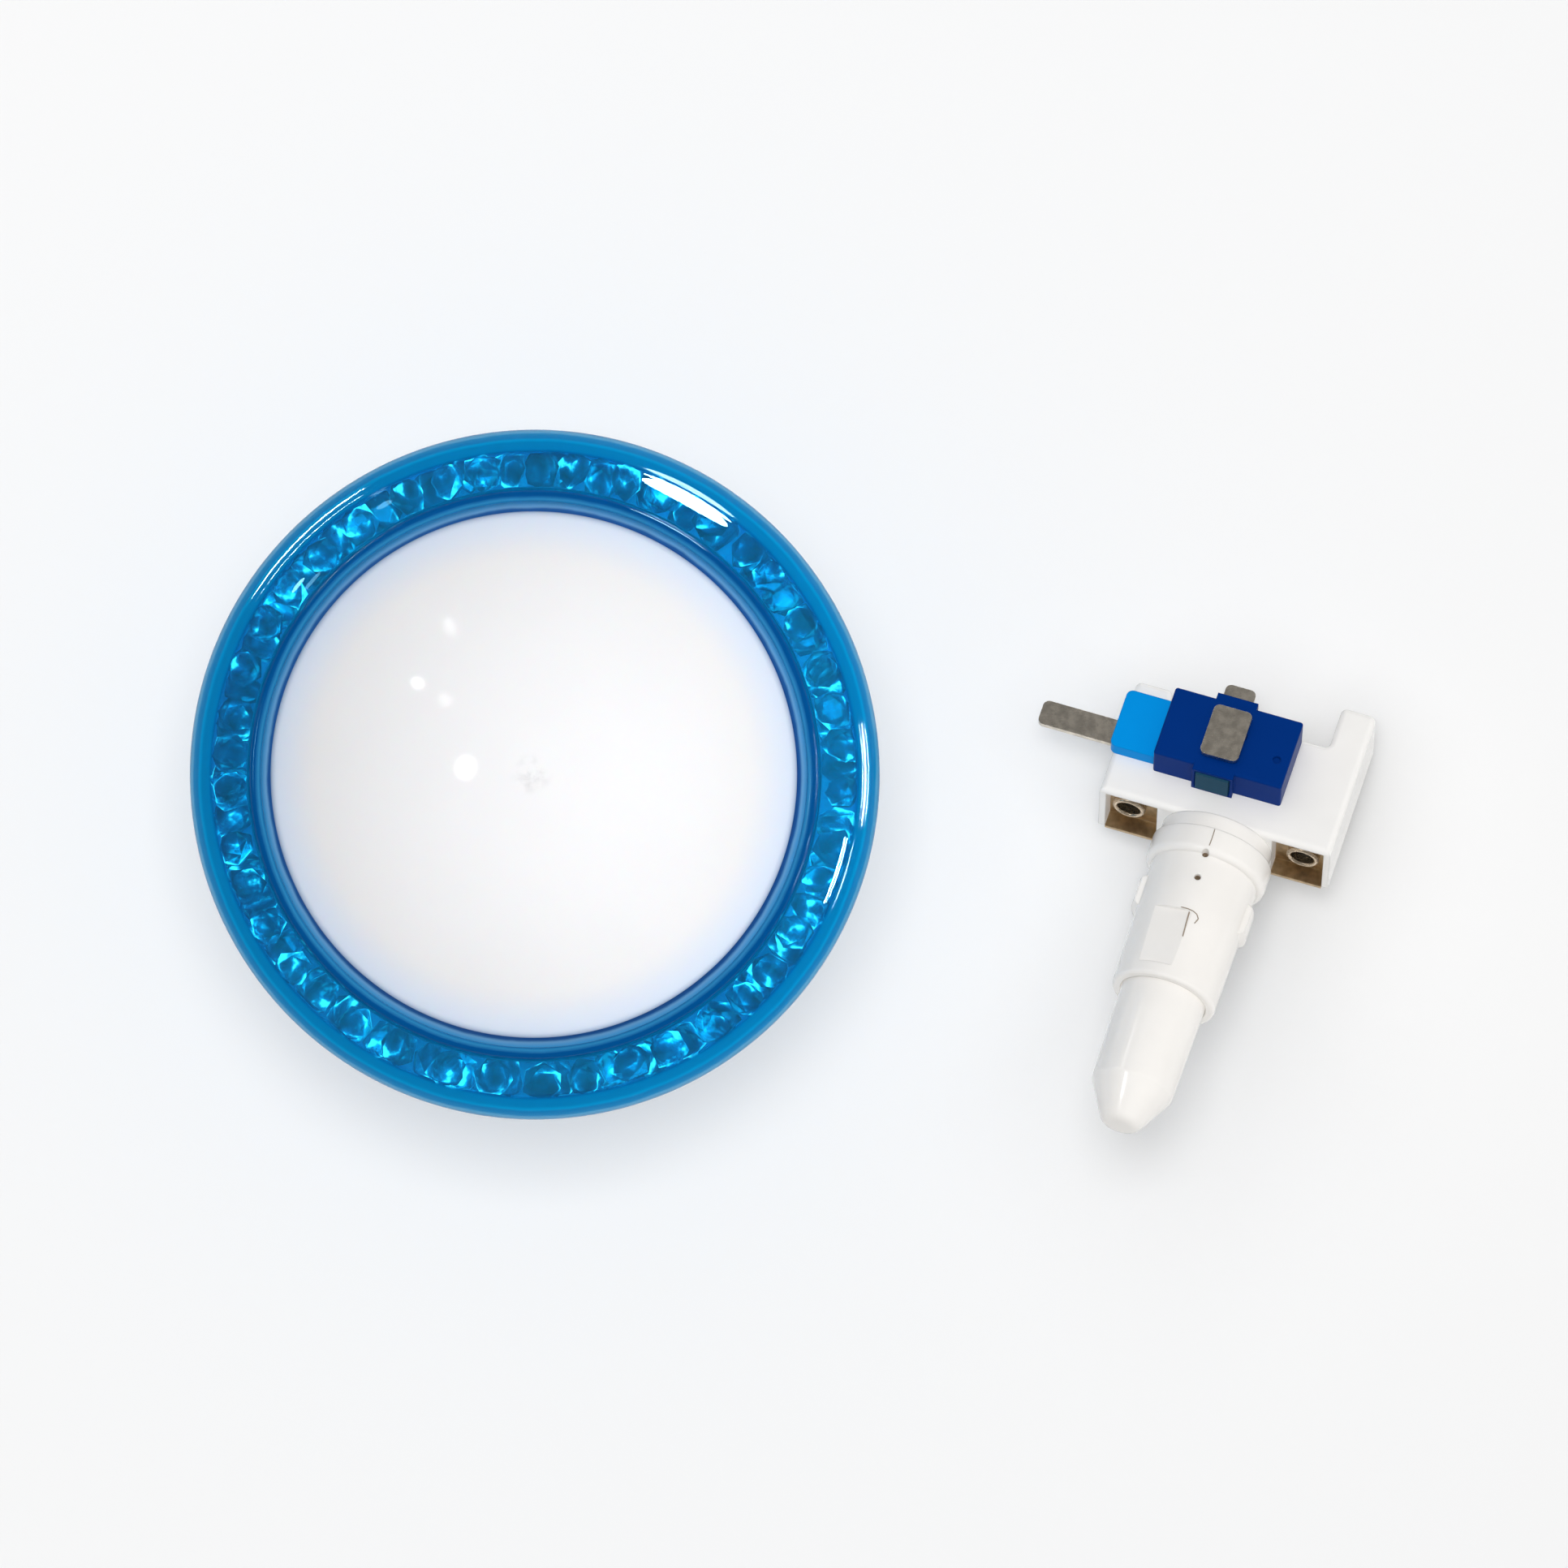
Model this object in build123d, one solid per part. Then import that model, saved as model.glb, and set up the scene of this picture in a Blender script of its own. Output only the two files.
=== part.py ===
from build123d import *
import os
from math import cos, radians, sin

# Arcade push button: a lit dome in a clear ring of cut stones, with the lamp-and-switch holder
# drawn out of its barrel and laid beside it. Millimetres, +Z up along the dome's axis, and the
# origin where that axis meets the front face of the panel that the button is fixed in.

# Fits
RUNNING_GAP = 0.08
SLIDE_GAP = 0.4
STOP_GAP = 0.3
SEAT_GAP = 0.05
TUBE_GAP = 0.3
PAD_GAP = 0.2

# Dome
DOME_RADIUS = 38.0
DOME_WALL = 2.0
DOME_SKIRT = 4.6
DOME_RISE = 19.0
DOME_EDGE_ROUND = 5.0
MOAT = 1.4

# Plunger that carries the dome
TRAVEL = 4.5
RIM_OVERLAP = 0.7
RIM_THICKNESS = 2.0
RIM_FLOAT = 2.5
LOCATING_LIP_HEIGHT = 3.0
LOCATING_LIP_WALL = 1.5
HUB_DEPTH = 10.5
HUB_WALL = 1.6
HUB_TOP = 2.0
HUB_GAP = 0.5
STEM_OVERLAP = 0.8
STEM_WALL = 2.6
STEM_FLOAT = 1.5
RIB_COUNT = 6
RIB_THICKNESS = 1.5
RIB_HEIGHT = 4.0
LEG_WIDTH = 4.0
LEG_THICKNESS = 1.6
LEG_GAP = 0.3
LEG_SETBACK = 0.5

# Bezel ring and its channel of stones
WELL_WALL = 0.8
CHANNEL_WIDTH = 5.4
OUTER_WALL = 1.3
WALL_SLOPE = 3.0
BEZEL_SKIRT = 7.0
SKIRT_WALL = 2.3
WALL_BULGE = 0.5
CROWN_BULGE = 0.9
ROOF_WALL = 2.4
COLLAR_HEIGHT = 3.5
COLLAR_STEP = 1.5
COLLAR_DRAFT = 0.4
COLLAR_ROUND = 0.6
SHOULDER_DROP = 4.6
SHOULDER_REACH = 0.3
SHOULDER_ROUND = 1.6
STONE_COUNT = 40
STONE_LENGTH = 3.2
STONE_WIDTH = 2.45
STONE_CROWN = 1.3
STONE_PAVILION = 2.2
STONE_TABLE = 0.58
STONE_SIDES = 8
STONE_WAVE = 137.5
STONE_SWING = 9.0
STONE_LEAN = 9.0

# Base, barrel and panel nut
BASE_THICKNESS = 2.5
BARREL_RADIUS = 11.8
BARREL_LENGTH = 40.0
GUIDE_WALL = 1.9
LAMP_BORE_DEPTH = 22.0
BAYONET_TURN = 40.0
BARREL_CHAMFER = 0.8
THREAD_PITCH = 2.0
THREAD_DEPTH = 0.5
THREAD_TURNS = 13
PANEL_THICKNESS = 6.0
NUT_HEIGHT = 8.0
NUT_FLATS = 32.0
NUT_FLANGE_RADIUS = 19.0
NUT_FLANGE = 2.0

# Return spring
WIRE = 1.4
SPRING_GAP = 0.6
SPRING_TURNS = 6

# Holder: local X runs along the switch, Y rises to its top and Z runs out along the lamp
HOLDER_SHIFT_X = 99.8
HOLDER_SHIFT_Y = -9.7
HOLDER_TURN = 17.75
HOLDER_TILT = 27.0
FRAME_LEFT = 18.2
FRAME_RIGHT = 17.2
FRAME_DEPTH = 17.0
FRAME_HALF_HEIGHT = 5.9
LEFT_EAR_WIDTH = 5.6
LEFT_EAR_DEPTH = 2.0
RIGHT_EAR_WIDTH = 5.3
RIGHT_EAR_DEPTH = 7.0
EAR_ROUND = 0.9
FRAME_ROUND = 0.9
RECESS_WIDTH = 7.9
RECESS_DEPTH = 3.2
RECESS_WALL = 1.0
UNDERSIDE_LEFT = 8.0
UNDERSIDE_RIGHT = 7.0
UNDERSIDE_FRONT = 7.5
UNDERSIDE_WALL = 1.5
PLATE_THICKNESS = 0.6
RIVET_RADIUS = 2.45
RIVET_BORE = 1.75
RIVET_SPREAD = 13.35
RIVET_OFFSET = -0.65
RIVET_DROP = 0.7
RIVET_RISE = 1.3
RIVET_WALL = 0.35
RIVET_ROLL = 0.5

# Lamp tube and lamp
TUBE_RADIUS = 7.8
TUBE_ROOT_RADIUS = 8.1
TUBE_LENGTH = 27.3
TUBE_WALL = 1.25
TUBE_ROUND = 0.5
FLANGE_RADIUS = 9.1
FLANGE_START = 2.6
FLANGE_THICKNESS = 4.0
FLANGE_ROUND = 0.9
NECK_RADIUS = 8.4
SPIGOT_RADIUS = 5.0
SPIGOT_LENGTH = 6.0
SOCKET_RADIUS = 3.6
LUG_START = 9.5
LUG_LENGTH = 5.5
LUG_WIDTH = 5.0
LUG_RISE = 0.7
FLAT_START = 16.0
FLAT_MARGIN = 2.0
FLAT_ANGLE = 15.0
FLAT_CUT = 0.4
SEAM_HOLE_RADIUS = 0.5
SEAM_HOLE_DEPTH = 1.2
SEAM_HOLE_PITCH = 3.9
BULLET_START = 22.0
BULLET_CONE = 42.6
BULLET_END = 48.9
BULLET_CONE_RADIUS = 6.1
BULLET_TIP_RADIUS = 3.3
BULLET_TIP_ROUND = 1.2
BULLET_WALL = 1.0
LAMP_STAND = 2.0
LAMP_HEAD_RADIUS = 2.5
LAMP_HEAD_LENGTH = 5.0

# Switch
CASE_LEFT = 18.7
CASE_RIGHT = 6.9
CASE_FRONT = 6.3
CASE_BACK = 15.9
CASE_HEIGHT = 2.4
CASE_ROUND = 1.0
COVER_LEFT = 11.7
COVER_RIGHT = 7.9
COVER_FRONT = 5.3
COVER_BACK = 16.7
COVER_HEIGHT = 5.9
COVER_ROUND = 0.4
COVER_ROOF = 1.2
CAVITY_LEFT = 10.9
CAVITY_RIGHT = 6.3
CAVITY_FRONT = 7.8
CAVITY_BACK = 15.4
BAND_LEFT = 5.5
BAND_RIGHT = 0.7
BAND_RISE = 0.9
DIMPLE_RADIUS = 0.6
DIMPLE_DEPTH = 0.5
DIMPLE_RIGHT = 5.9
DIMPLE_BACK = 9.6
PAD_WIDTH = 5.0
PAD_THICKNESS = 1.0
PAD_FOOT = 0.6
PAD_HEAD = 0.8
PAD_TRAVEL = 1.0
PAD_PROUD = 0.2
PAD_STEM_WIDTH = 3.0
PAD_STEM_HEIGHT = 1.4
BLADE_THICKNESS = 0.8
BLADE_ROUND = 0.9
COMMON_LENGTH = 11.3
COMMON_WIDTH = 4.0
COMMON_FRONT = 6.9
COMMON_LIFT = 0.8
COMMON_TAIL = 9.6
POST_WIDTH = 1.2
LEAF_THICKNESS = 0.3
LEAF_HEIGHT = 1.6
LEAF_LENGTH = 10.0
LEAF_GAP = 0.3
LEAF_EYE = 0.25
CONTACT_RADIUS = 0.7
CONTACT_HEIGHT = 0.5
TOP_BLADE_LEFT = 5.2
TOP_BLADE_RIGHT = 0.6
TOP_BLADE_FRONT = 6.8
TOP_BLADE_BACK = 15.2
TOP_BLADE_LIFT = 0.4
TOP_BLADE_ROOT = 11.4
TOP_BLADE_ROOT_WIDTH = 2.4
REAR_BLADE_LEFT = 4.9
REAR_BLADE_RIGHT = 0.3
REAR_BLADE_LENGTH = 3.7
REAR_BLADE_LIFT = 3.2
REAR_BLADE_TAIL = 2.2

# Radii and heights that follow from the sizes above
lip_radius = DOME_RADIUS + MOAT
rim_radius = lip_radius + RIM_OVERLAP
well_radius = rim_radius + SLIDE_GAP
channel_inner = well_radius + WELL_WALL
channel_outer = channel_inner + CHANNEL_WIDTH
shoulder_radius = channel_outer + SHOULDER_REACH
bezel_radius = shoulder_radius + WALL_SLOPE
base_radius = bezel_radius - SKIRT_WALL - SEAT_GAP
rim_bottom = BASE_THICKNESS + RIM_FLOAT + TRAVEL
rim_top = rim_bottom + RIM_THICKNESS
lip_bottom = rim_top + STOP_GAP
collar_top = lip_bottom + COLLAR_HEIGHT
shoulder_height = collar_top - SHOULDER_DROP
crown_height = collar_top - COLLAR_STEP
hub_bottom = rim_bottom + HUB_DEPTH
lamp_bore = TUBE_RADIUS + TUBE_GAP
leg_inner = lamp_bore + LEG_GAP
stem_radius = leg_inner + STEM_OVERLAP
guide_radius = stem_radius + RUNNING_GAP
guide_outer = guide_radius + GUIDE_WALL
guide_top = hub_bottom - TRAVEL - HUB_GAP
spring_radius = guide_outer + SPRING_GAP + WIRE / 2
hub_inner = spring_radius + WIRE / 2 + SPRING_GAP
hub_outer = hub_inner + HUB_WALL
bore_step = LAMP_BORE_DEPTH - BARREL_LENGTH
thread_root = BARREL_RADIUS - THREAD_DEPTH
stem_bottom = bore_step + TRAVEL + STEM_FLOAT
leg_bottom = TRAVEL + LEG_SETBACK - BARREL_LENGTH
locating_lip = DOME_RADIUS - DOME_WALL - SEAT_GAP
case_top = FRAME_HALF_HEIGHT + CASE_HEIGHT
cover_top = FRAME_HALF_HEIGHT + COVER_HEIGHT
band_middle = (BAND_RIGHT - BAND_LEFT) / 2
rivet_shank = RIVET_BORE + RIVET_WALL
leaf_height = case_top + LEAF_GAP
common_end = COMMON_TAIL - CASE_LEFT
leaf_left = common_end + LEAF_GAP
leaf_front = CAVITY_FRONT + LEAF_GAP
leaf_middle = leaf_height + LEAF_HEIGHT / 2
contact_x = TOP_BLADE_RIGHT - TOP_BLADE_ROOT_WIDTH / 2
pad_front = COVER_FRONT - BAND_RISE - PAD_PROUD
pad_back = pad_front + PAD_THICKNESS

# Section plane for turned pieces, and plan plane for the holder's flat outlines
SECTION = Plane.XZ
PLAN = Plane(origin=(0, 0, 0), x_dir=(1, 0, 0), z_dir=(0, 1, 0))


def turned(*edges):
    """Revolve a closed section of radius and height about Z."""
    return revolve(SECTION * make_face(edges), Axis.Z)


def turned_outline(*points):
    """Revolve a straight-sided section given by its corners."""
    return turned(*Polyline(*points, close=True).edges())


def block(x_range, y_range, z_range):
    """Box between pairs of coordinates."""
    ranges = (x_range, y_range, z_range)
    middle = [(low + high) / 2 for low, high in ranges]
    return Pos(*middle) * Box(*[high - low for low, high in ranges])


def plan_plate(outline, low, high):
    """Extrude a plan outline of X and depth behind the lamp face between two heights."""
    return extrude(PLAN.offset(low) * outline, high - low)


def plan_rectangle(left, right, front, back, corner):
    """Plan outline of a plate with rounded corners."""
    width = right - left
    depth = back - front
    return Pos((left + right) / 2, (front + back) / 2) * RectangleRounded(width, depth, corner)


def rounded_corner(section, corner, radius):
    """Round the corner of a section that lies nearest to a point."""
    return fillet(section.vertices().sort_by_distance((*corner, 0))[0], radius)


def bezel_ring():
    """Clear ring: sloping wall, domed crown and collar over a channel that is open below."""
    foot = (bezel_radius, 0)
    skirt = (bezel_radius, BEZEL_SKIRT)
    shoulder = (shoulder_radius, shoulder_height)
    collar_foot = (channel_inner, crown_height)
    collar_outer = (channel_inner - COLLAR_DRAFT, collar_top)
    collar_inner = (lip_radius, collar_top)
    seat_radius = base_radius + SEAT_GAP
    inside = Polyline(
        collar_foot,
        collar_outer,
        collar_inner,
        (lip_radius, lip_bottom),
        (well_radius, lip_bottom),
        (well_radius, BASE_THICKNESS),
        (channel_inner, BASE_THICKNESS),
        (channel_inner, crown_height - ROOF_WALL),
        (channel_outer, shoulder_height - OUTER_WALL),
        (channel_outer, BASE_THICKNESS),
        (seat_radius, BASE_THICKNESS),
        (seat_radius, 0),
        foot,
    )
    wall = SagittaArc(skirt, shoulder, -WALL_BULGE)
    crown = SagittaArc(shoulder, collar_foot, -CROWN_BULGE)
    section = make_face([Line(foot, skirt), wall, crown, *inside.edges()])
    section = rounded_corner(section, shoulder, SHOULDER_ROUND)
    section = rounded_corner(section, collar_outer, COLLAR_ROUND)
    section = rounded_corner(section, collar_inner, COLLAR_ROUND)
    return revolve(SECTION * section, Axis.Z)


def stone_outline(share, height):
    """Oval eight-sided outline of a stone at a height, as a share of its full size."""
    step = 360 / STONE_SIDES
    angles = [radians(step / 2 + index * step) for index in range(STONE_SIDES)]
    points = [(share * STONE_LENGTH * cos(a), share * STONE_WIDTH * sin(a)) for a in angles]
    return Pos(0, 0, height) * make_face(Polyline(*points, close=True).edges())


def stone():
    """Cut stone: a flat table, a ring of crown facets and a pointed pavilion."""
    girdle = stone_outline(1, 0)
    crown = loft([girdle, stone_outline(STONE_TABLE, STONE_CROWN)], ruled=True)
    pavilion = loft([Vertex(0, 0, -STONE_PAVILION), girdle], ruled=True)
    return crown + pavilion


def crystal_stones():
    """Stones lying nose to tail on the channel's floor, each turned and leaning another way."""
    ring_radius = (channel_inner + channel_outer) / 2
    seat = BASE_THICKNESS + SEAT_GAP
    gem = stone()
    stones = []
    for index in range(STONE_COUNT):
        wave = radians(index * STONE_WAVE)
        posed = Rot(STONE_LEAN * sin(wave), STONE_LEAN * cos(wave), 90 + STONE_SWING * sin(2 * wave)) * gem
        lift = seat - posed.bounding_box().min.Z
        stones.append(Rot(0, 0, index * 360 / STONE_COUNT) * Pos(ring_radius, 0, lift) * posed)
    return Compound(stones)


def leg_slot():
    """Clearance in the barrel's wall for the plunger's leg."""
    half = LEG_WIDTH / 2 + LEG_GAP
    depth = leg_inner + LEG_THICKNESS + LEG_GAP
    return block((-half, half), (0, depth), (-BARREL_LENGTH, stem_bottom + LEG_GAP))


def bayonet_groove(side):
    """Entry and turn for one of the lamp tube's lugs, cut into the lower bore."""
    half = LUG_WIDTH / 2 + LEG_GAP
    depth = TUBE_RADIUS + LUG_RISE + TUBE_GAP
    flange_front = FLANGE_START + FLANGE_THICKNESS
    low = LUG_START - flange_front - LEG_GAP - BARREL_LENGTH
    high = LUG_START + LUG_LENGTH - flange_front + LEG_GAP - BARREL_LENGTH
    entry = block((0, depth), (-half, half), (-BARREL_LENGTH, high))
    turn_section = SECTION * Pos(depth / 2, (low + high) / 2) * Rectangle(depth, high - low)
    return Rot(0, 0, side) * (entry + revolve(turn_section, Axis.Z, BAYONET_TURN))


def thread_rings():
    """Section points down the barrel's thread: a crest and a root for each turn, flats and flanks alike."""
    points = []
    for turn in range(THREAD_TURNS):
        top = -turn * THREAD_PITCH
        points.append((BARREL_RADIUS, top))
        points.append((BARREL_RADIUS, top - THREAD_PITCH / 4))
        points.append((thread_root, top - THREAD_PITCH / 2))
        if turn < THREAD_TURNS - 1:
            points.append((thread_root, top - 3 * THREAD_PITCH / 4))
    return points


def base_housing():
    """Flange under the bezel, guide for the stem above, and the barrel: thread, then a plain end."""
    body = turned_outline(
        (guide_radius, guide_top),
        (guide_outer, guide_top),
        (guide_outer, BASE_THICKNESS),
        (base_radius, BASE_THICKNESS),
        (base_radius, 0),
        *thread_rings(),
        (thread_root, BARREL_CHAMFER - BARREL_LENGTH),
        (thread_root - BARREL_CHAMFER, -BARREL_LENGTH),
        (lamp_bore, -BARREL_LENGTH),
        (lamp_bore, bore_step),
        (guide_radius, bore_step),
    )
    return body - leg_slot() - bayonet_groove(0) - bayonet_groove(180)


def panel_nut():
    """Six-sided nut with a round flange that bears on the back of the panel."""
    height = NUT_HEIGHT - NUT_FLANGE
    hexagon = extrude(RegularPolygon(NUT_FLATS / 2, 6, major_radius=False), -height)
    nut = hexagon + Pos(0, 0, NUT_FLANGE / 2) * Cylinder(NUT_FLANGE_RADIUS, NUT_FLANGE)
    nut -= Cylinder(BARREL_RADIUS + SEAT_GAP, 2 * NUT_HEIGHT)
    return Pos(0, 0, -PANEL_THICKNESS - NUT_FLANGE) * nut


def plunger():
    """Rim and hub that carry the dome, hollow stem for the lamp and the leg that works the switch."""
    stem_inner = stem_radius - STEM_WALL
    hub_top = hub_bottom + HUB_TOP
    lip_top = rim_top + LOCATING_LIP_HEIGHT
    body = turned_outline(
        (stem_inner, stem_bottom),
        (stem_radius, stem_bottom),
        (stem_radius, hub_bottom),
        (hub_inner, hub_bottom),
        (hub_inner, rim_bottom),
        (rim_radius, rim_bottom),
        (rim_radius, rim_top),
        (locating_lip, rim_top),
        (locating_lip, lip_top),
        (locating_lip - LOCATING_LIP_WALL, lip_top),
        (locating_lip - LOCATING_LIP_WALL, rim_top),
        (hub_outer, rim_top),
        (hub_outer, hub_top),
        (stem_inner, hub_top),
    )
    inner_end = hub_outer - HUB_WALL / 2
    outer_end = locating_lip - LOCATING_LIP_WALL / 2
    half_rib = RIB_THICKNESS / 2
    rib = block((inner_end, outer_end), (-half_rib, half_rib), (rim_bottom, rim_top + RIB_HEIGHT))
    for index in range(RIB_COUNT):
        body += Rot(0, 0, index * 360 / RIB_COUNT) * rib
    half_leg = LEG_WIDTH / 2
    leg = block((-half_leg, half_leg), (leg_inner, leg_inner + LEG_THICKNESS), (leg_bottom, stem_bottom))
    return body + leg


def dome_cap():
    """White dome: a spherical crown rounded into a short skirt that seats over the plunger's lip."""
    skirt_top = rim_top + DOME_SKIRT
    return dome_solid(DOME_RADIUS, skirt_top, DOME_RISE) - dome_solid(
        DOME_RADIUS - DOME_WALL, skirt_top, DOME_RISE - DOME_WALL
    )


def dome_solid(radius, skirt_top, rise):
    """Solid under a spherical crown, from the plunger's rim up."""
    edge = (radius, skirt_top)
    apex = (0, skirt_top + rise)
    middle = Polyline(apex, (0, rim_top), (radius, rim_top), edge)
    sphere_radius = (radius**2 + rise**2) / (2 * rise)
    section = make_face([*middle.edges(), RadiusArc(edge, apex, -sphere_radius)])
    return revolve(SECTION * rounded_corner(section, edge, DOME_EDGE_ROUND), Axis.Z)


def return_spring():
    """Coil between the base and the plunger's hub, round the guide."""
    length = hub_bottom - BASE_THICKNESS - WIRE - 2 * SEAT_GAP
    path = Helix(length / SPRING_TURNS, length, spring_radius)
    wire = Plane(path @ 0, z_dir=path % 0) * Circle(WIRE / 2)
    return Pos(0, 0, BASE_THICKNESS + WIRE / 2 + SEAT_GAP) * sweep(wire, path, is_frenet=True)


def holder_frame():
    """White moulding of the holder: plan with an ear at each end, end recesses and a lamp socket."""
    ear_left = LEFT_EAR_WIDTH - FRAME_LEFT
    ear_right = FRAME_RIGHT - RIGHT_EAR_WIDTH
    left_back = FRAME_DEPTH + LEFT_EAR_DEPTH
    right_back = FRAME_DEPTH + RIGHT_EAR_DEPTH
    corners = [
        (-FRAME_LEFT, left_back),
        (ear_left, left_back),
        (ear_left, FRAME_DEPTH),
        (ear_right, FRAME_DEPTH),
        (ear_right, right_back),
        (FRAME_RIGHT, right_back),
    ]
    outline = make_face(Polyline((FRAME_RIGHT, 0), (-FRAME_LEFT, 0), *corners, close=True).edges())
    for corner in corners:
        outline = rounded_corner(outline, corner, EAR_ROUND)
    frame = plan_plate(outline, -FRAME_HALF_HEIGHT, FRAME_HALF_HEIGHT)
    faces = frame.faces().sort_by(Axis.Y)
    frame = fillet(faces[0].edges() + faces[-1].edges(), FRAME_ROUND)
    for recess in recess_ranges():
        frame -= block(recess, (-FRAME_HALF_HEIGHT, FRAME_HALF_HEIGHT - RECESS_WALL), (-RECESS_DEPTH, 0))
    frame -= block(
        (-UNDERSIDE_LEFT, UNDERSIDE_RIGHT),
        (-FRAME_HALF_HEIGHT, FRAME_HALF_HEIGHT - UNDERSIDE_WALL),
        (UNDERSIDE_WALL - FRAME_DEPTH, -UNDERSIDE_FRONT),
    )
    return frame - Pos(0, 0, -SPIGOT_LENGTH / 2) * Cylinder(SPIGOT_RADIUS + SEAT_GAP, SPIGOT_LENGTH)


def recess_ranges():
    """X ranges of the left and right end recesses."""
    left = RECESS_WALL - FRAME_LEFT
    right = FRAME_RIGHT - RECESS_WALL
    return (left, left + RECESS_WIDTH), (right - RECESS_WIDTH, right)


def rivet_place(side):
    """Where a hollow rivet stands on the front of its plate."""
    return Pos(RIVET_OFFSET + side * RIVET_SPREAD, -RIVET_DROP, PLATE_THICKNESS - RECESS_DEPTH)


def lamp_terminal(recess, side):
    """Angle plate in an end recess: an upright with the rivet's hole and a foot along the open edge."""
    x_range = (recess[0] + SEAT_GAP, recess[1] - SEAT_GAP)
    low = -FRAME_HALF_HEIGHT
    high = FRAME_HALF_HEIGHT - RECESS_WALL - SEAT_GAP
    upright = block(x_range, (low, high), (-RECESS_DEPTH, PLATE_THICKNESS - RECESS_DEPTH))
    foot = block(x_range, (low, low + PLATE_THICKNESS), (-RECESS_DEPTH, 0))
    return upright + foot - rivet_place(side) * Cylinder(rivet_shank + SEAT_GAP, 2 * RECESS_DEPTH)


def terminal_rivet(side):
    """Hollow rivet with a rolled rim that stands proud of its plate."""
    rim_middle = (rivet_shank + RIVET_RADIUS) / 2
    rolled = ThreePointArc(
        (RIVET_RADIUS, RIVET_RISE - RIVET_ROLL),
        (rim_middle, RIVET_RISE),
        (RIVET_BORE, RIVET_RISE - RIVET_ROLL),
    )
    rest = Polyline(
        (RIVET_BORE, RIVET_RISE - RIVET_ROLL),
        (RIVET_BORE, -PLATE_THICKNESS),
        (rivet_shank, -PLATE_THICKNESS),
        (rivet_shank, 0),
        (RIVET_RADIUS, 0),
        (RIVET_RADIUS, RIVET_RISE - RIVET_ROLL),
    )
    return rivet_place(side) * turned(rolled, *rest.edges())


def lamp_tube():
    """Tube that enters the barrel: neck, flange, bayonet lugs, a shallow flat and two seam holes."""
    flange_end = FLANGE_START + FLANGE_THICKNESS
    tube_inner = TUBE_RADIUS - TUBE_WALL
    section = make_face(
        Polyline(
            (SOCKET_RADIUS, -SPIGOT_LENGTH),
            (SPIGOT_RADIUS, -SPIGOT_LENGTH),
            (SPIGOT_RADIUS, 0),
            (NECK_RADIUS, 0),
            (NECK_RADIUS, FLANGE_START),
            (FLANGE_RADIUS, FLANGE_START),
            (FLANGE_RADIUS, flange_end),
            (TUBE_ROOT_RADIUS, flange_end),
            (TUBE_RADIUS, TUBE_LENGTH),
            (tube_inner, TUBE_LENGTH),
            (tube_inner, BULLET_START),
            (SOCKET_RADIUS, BULLET_START),
            close=True,
        ).edges()
    )
    section = rounded_corner(section, (FLANGE_RADIUS, flange_end), FLANGE_ROUND)
    section = rounded_corner(section, (TUBE_RADIUS, TUBE_LENGTH), TUBE_ROUND)
    tube = revolve(SECTION * section, Axis.Z)
    lug_radius = TUBE_ROOT_RADIUS + LUG_RISE
    lug_ring = turned_outline(
        (tube_inner, LUG_START),
        (TUBE_RADIUS, LUG_START),
        (lug_radius, LUG_START + LUG_RISE),
        (lug_radius, LUG_START + LUG_LENGTH - LUG_RISE),
        (TUBE_RADIUS, LUG_START + LUG_LENGTH),
        (tube_inner, LUG_START + LUG_LENGTH),
    )
    half_lug = LUG_WIDTH / 2
    lug_span = (LUG_START, LUG_START + LUG_LENGTH)
    for inner, outer in ((-lug_radius, -tube_inner), (tube_inner, lug_radius)):
        tube += lug_ring & block((inner, outer), (-half_lug, half_lug), lug_span)
    flat = block(
        (-TUBE_RADIUS, TUBE_RADIUS),
        (TUBE_RADIUS - FLAT_CUT, FLANGE_RADIUS),
        (FLAT_START, TUBE_LENGTH - FLAT_MARGIN),
    )
    tube -= Rot(0, 0, FLAT_ANGLE) * flat
    hole = Rot(90, 0, 0) * Cylinder(SEAM_HOLE_RADIUS, 2 * SEAM_HOLE_DEPTH)
    for distance in (flange_end, flange_end + SEAM_HOLE_PITCH):
        tube -= Pos(0, TUBE_ROOT_RADIUS, distance) * hole
    return tube


def lamp_bullet():
    """Milky cover over the lamp: a slim taper, a cone and a blunt tip, hollow inside."""
    outer = TUBE_RADIUS - TUBE_WALL - SEAT_GAP
    section = make_face(
        Polyline(
            (outer, BULLET_START),
            (BULLET_CONE_RADIUS, BULLET_CONE),
            (BULLET_TIP_RADIUS, BULLET_END),
            (0, BULLET_END),
            (0, BULLET_END - BULLET_WALL),
            (BULLET_TIP_RADIUS - BULLET_WALL, BULLET_END - BULLET_WALL),
            (BULLET_CONE_RADIUS - BULLET_WALL, BULLET_CONE),
            (outer - BULLET_WALL, BULLET_START),
            close=True,
        ).edges()
    )
    section = rounded_corner(section, (BULLET_TIP_RADIUS, BULLET_END), BULLET_TIP_ROUND)
    return revolve(SECTION * section, Axis.Z)


def lamp():
    """Small lamp pushed into the tube's socket, with a round head inside the bullet."""
    radius = SOCKET_RADIUS - SEAT_GAP
    low = SEAT_GAP - SPIGOT_LENGTH
    top = BULLET_START + LAMP_STAND
    stem = Pos(0, 0, (low + top) / 2) * Cylinder(radius, top - low)
    head = Pos(0, 0, top + LAMP_HEAD_LENGTH / 2) * Cylinder(LAMP_HEAD_RADIUS, LAMP_HEAD_LENGTH)
    return stem + head + Pos(0, 0, top + LAMP_HEAD_LENGTH) * Sphere(LAMP_HEAD_RADIUS)


def deep_block(x_range, y_range, near, far):
    """Box between two depths behind the lamp face."""
    return block(x_range, y_range, (-far, -near))


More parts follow.
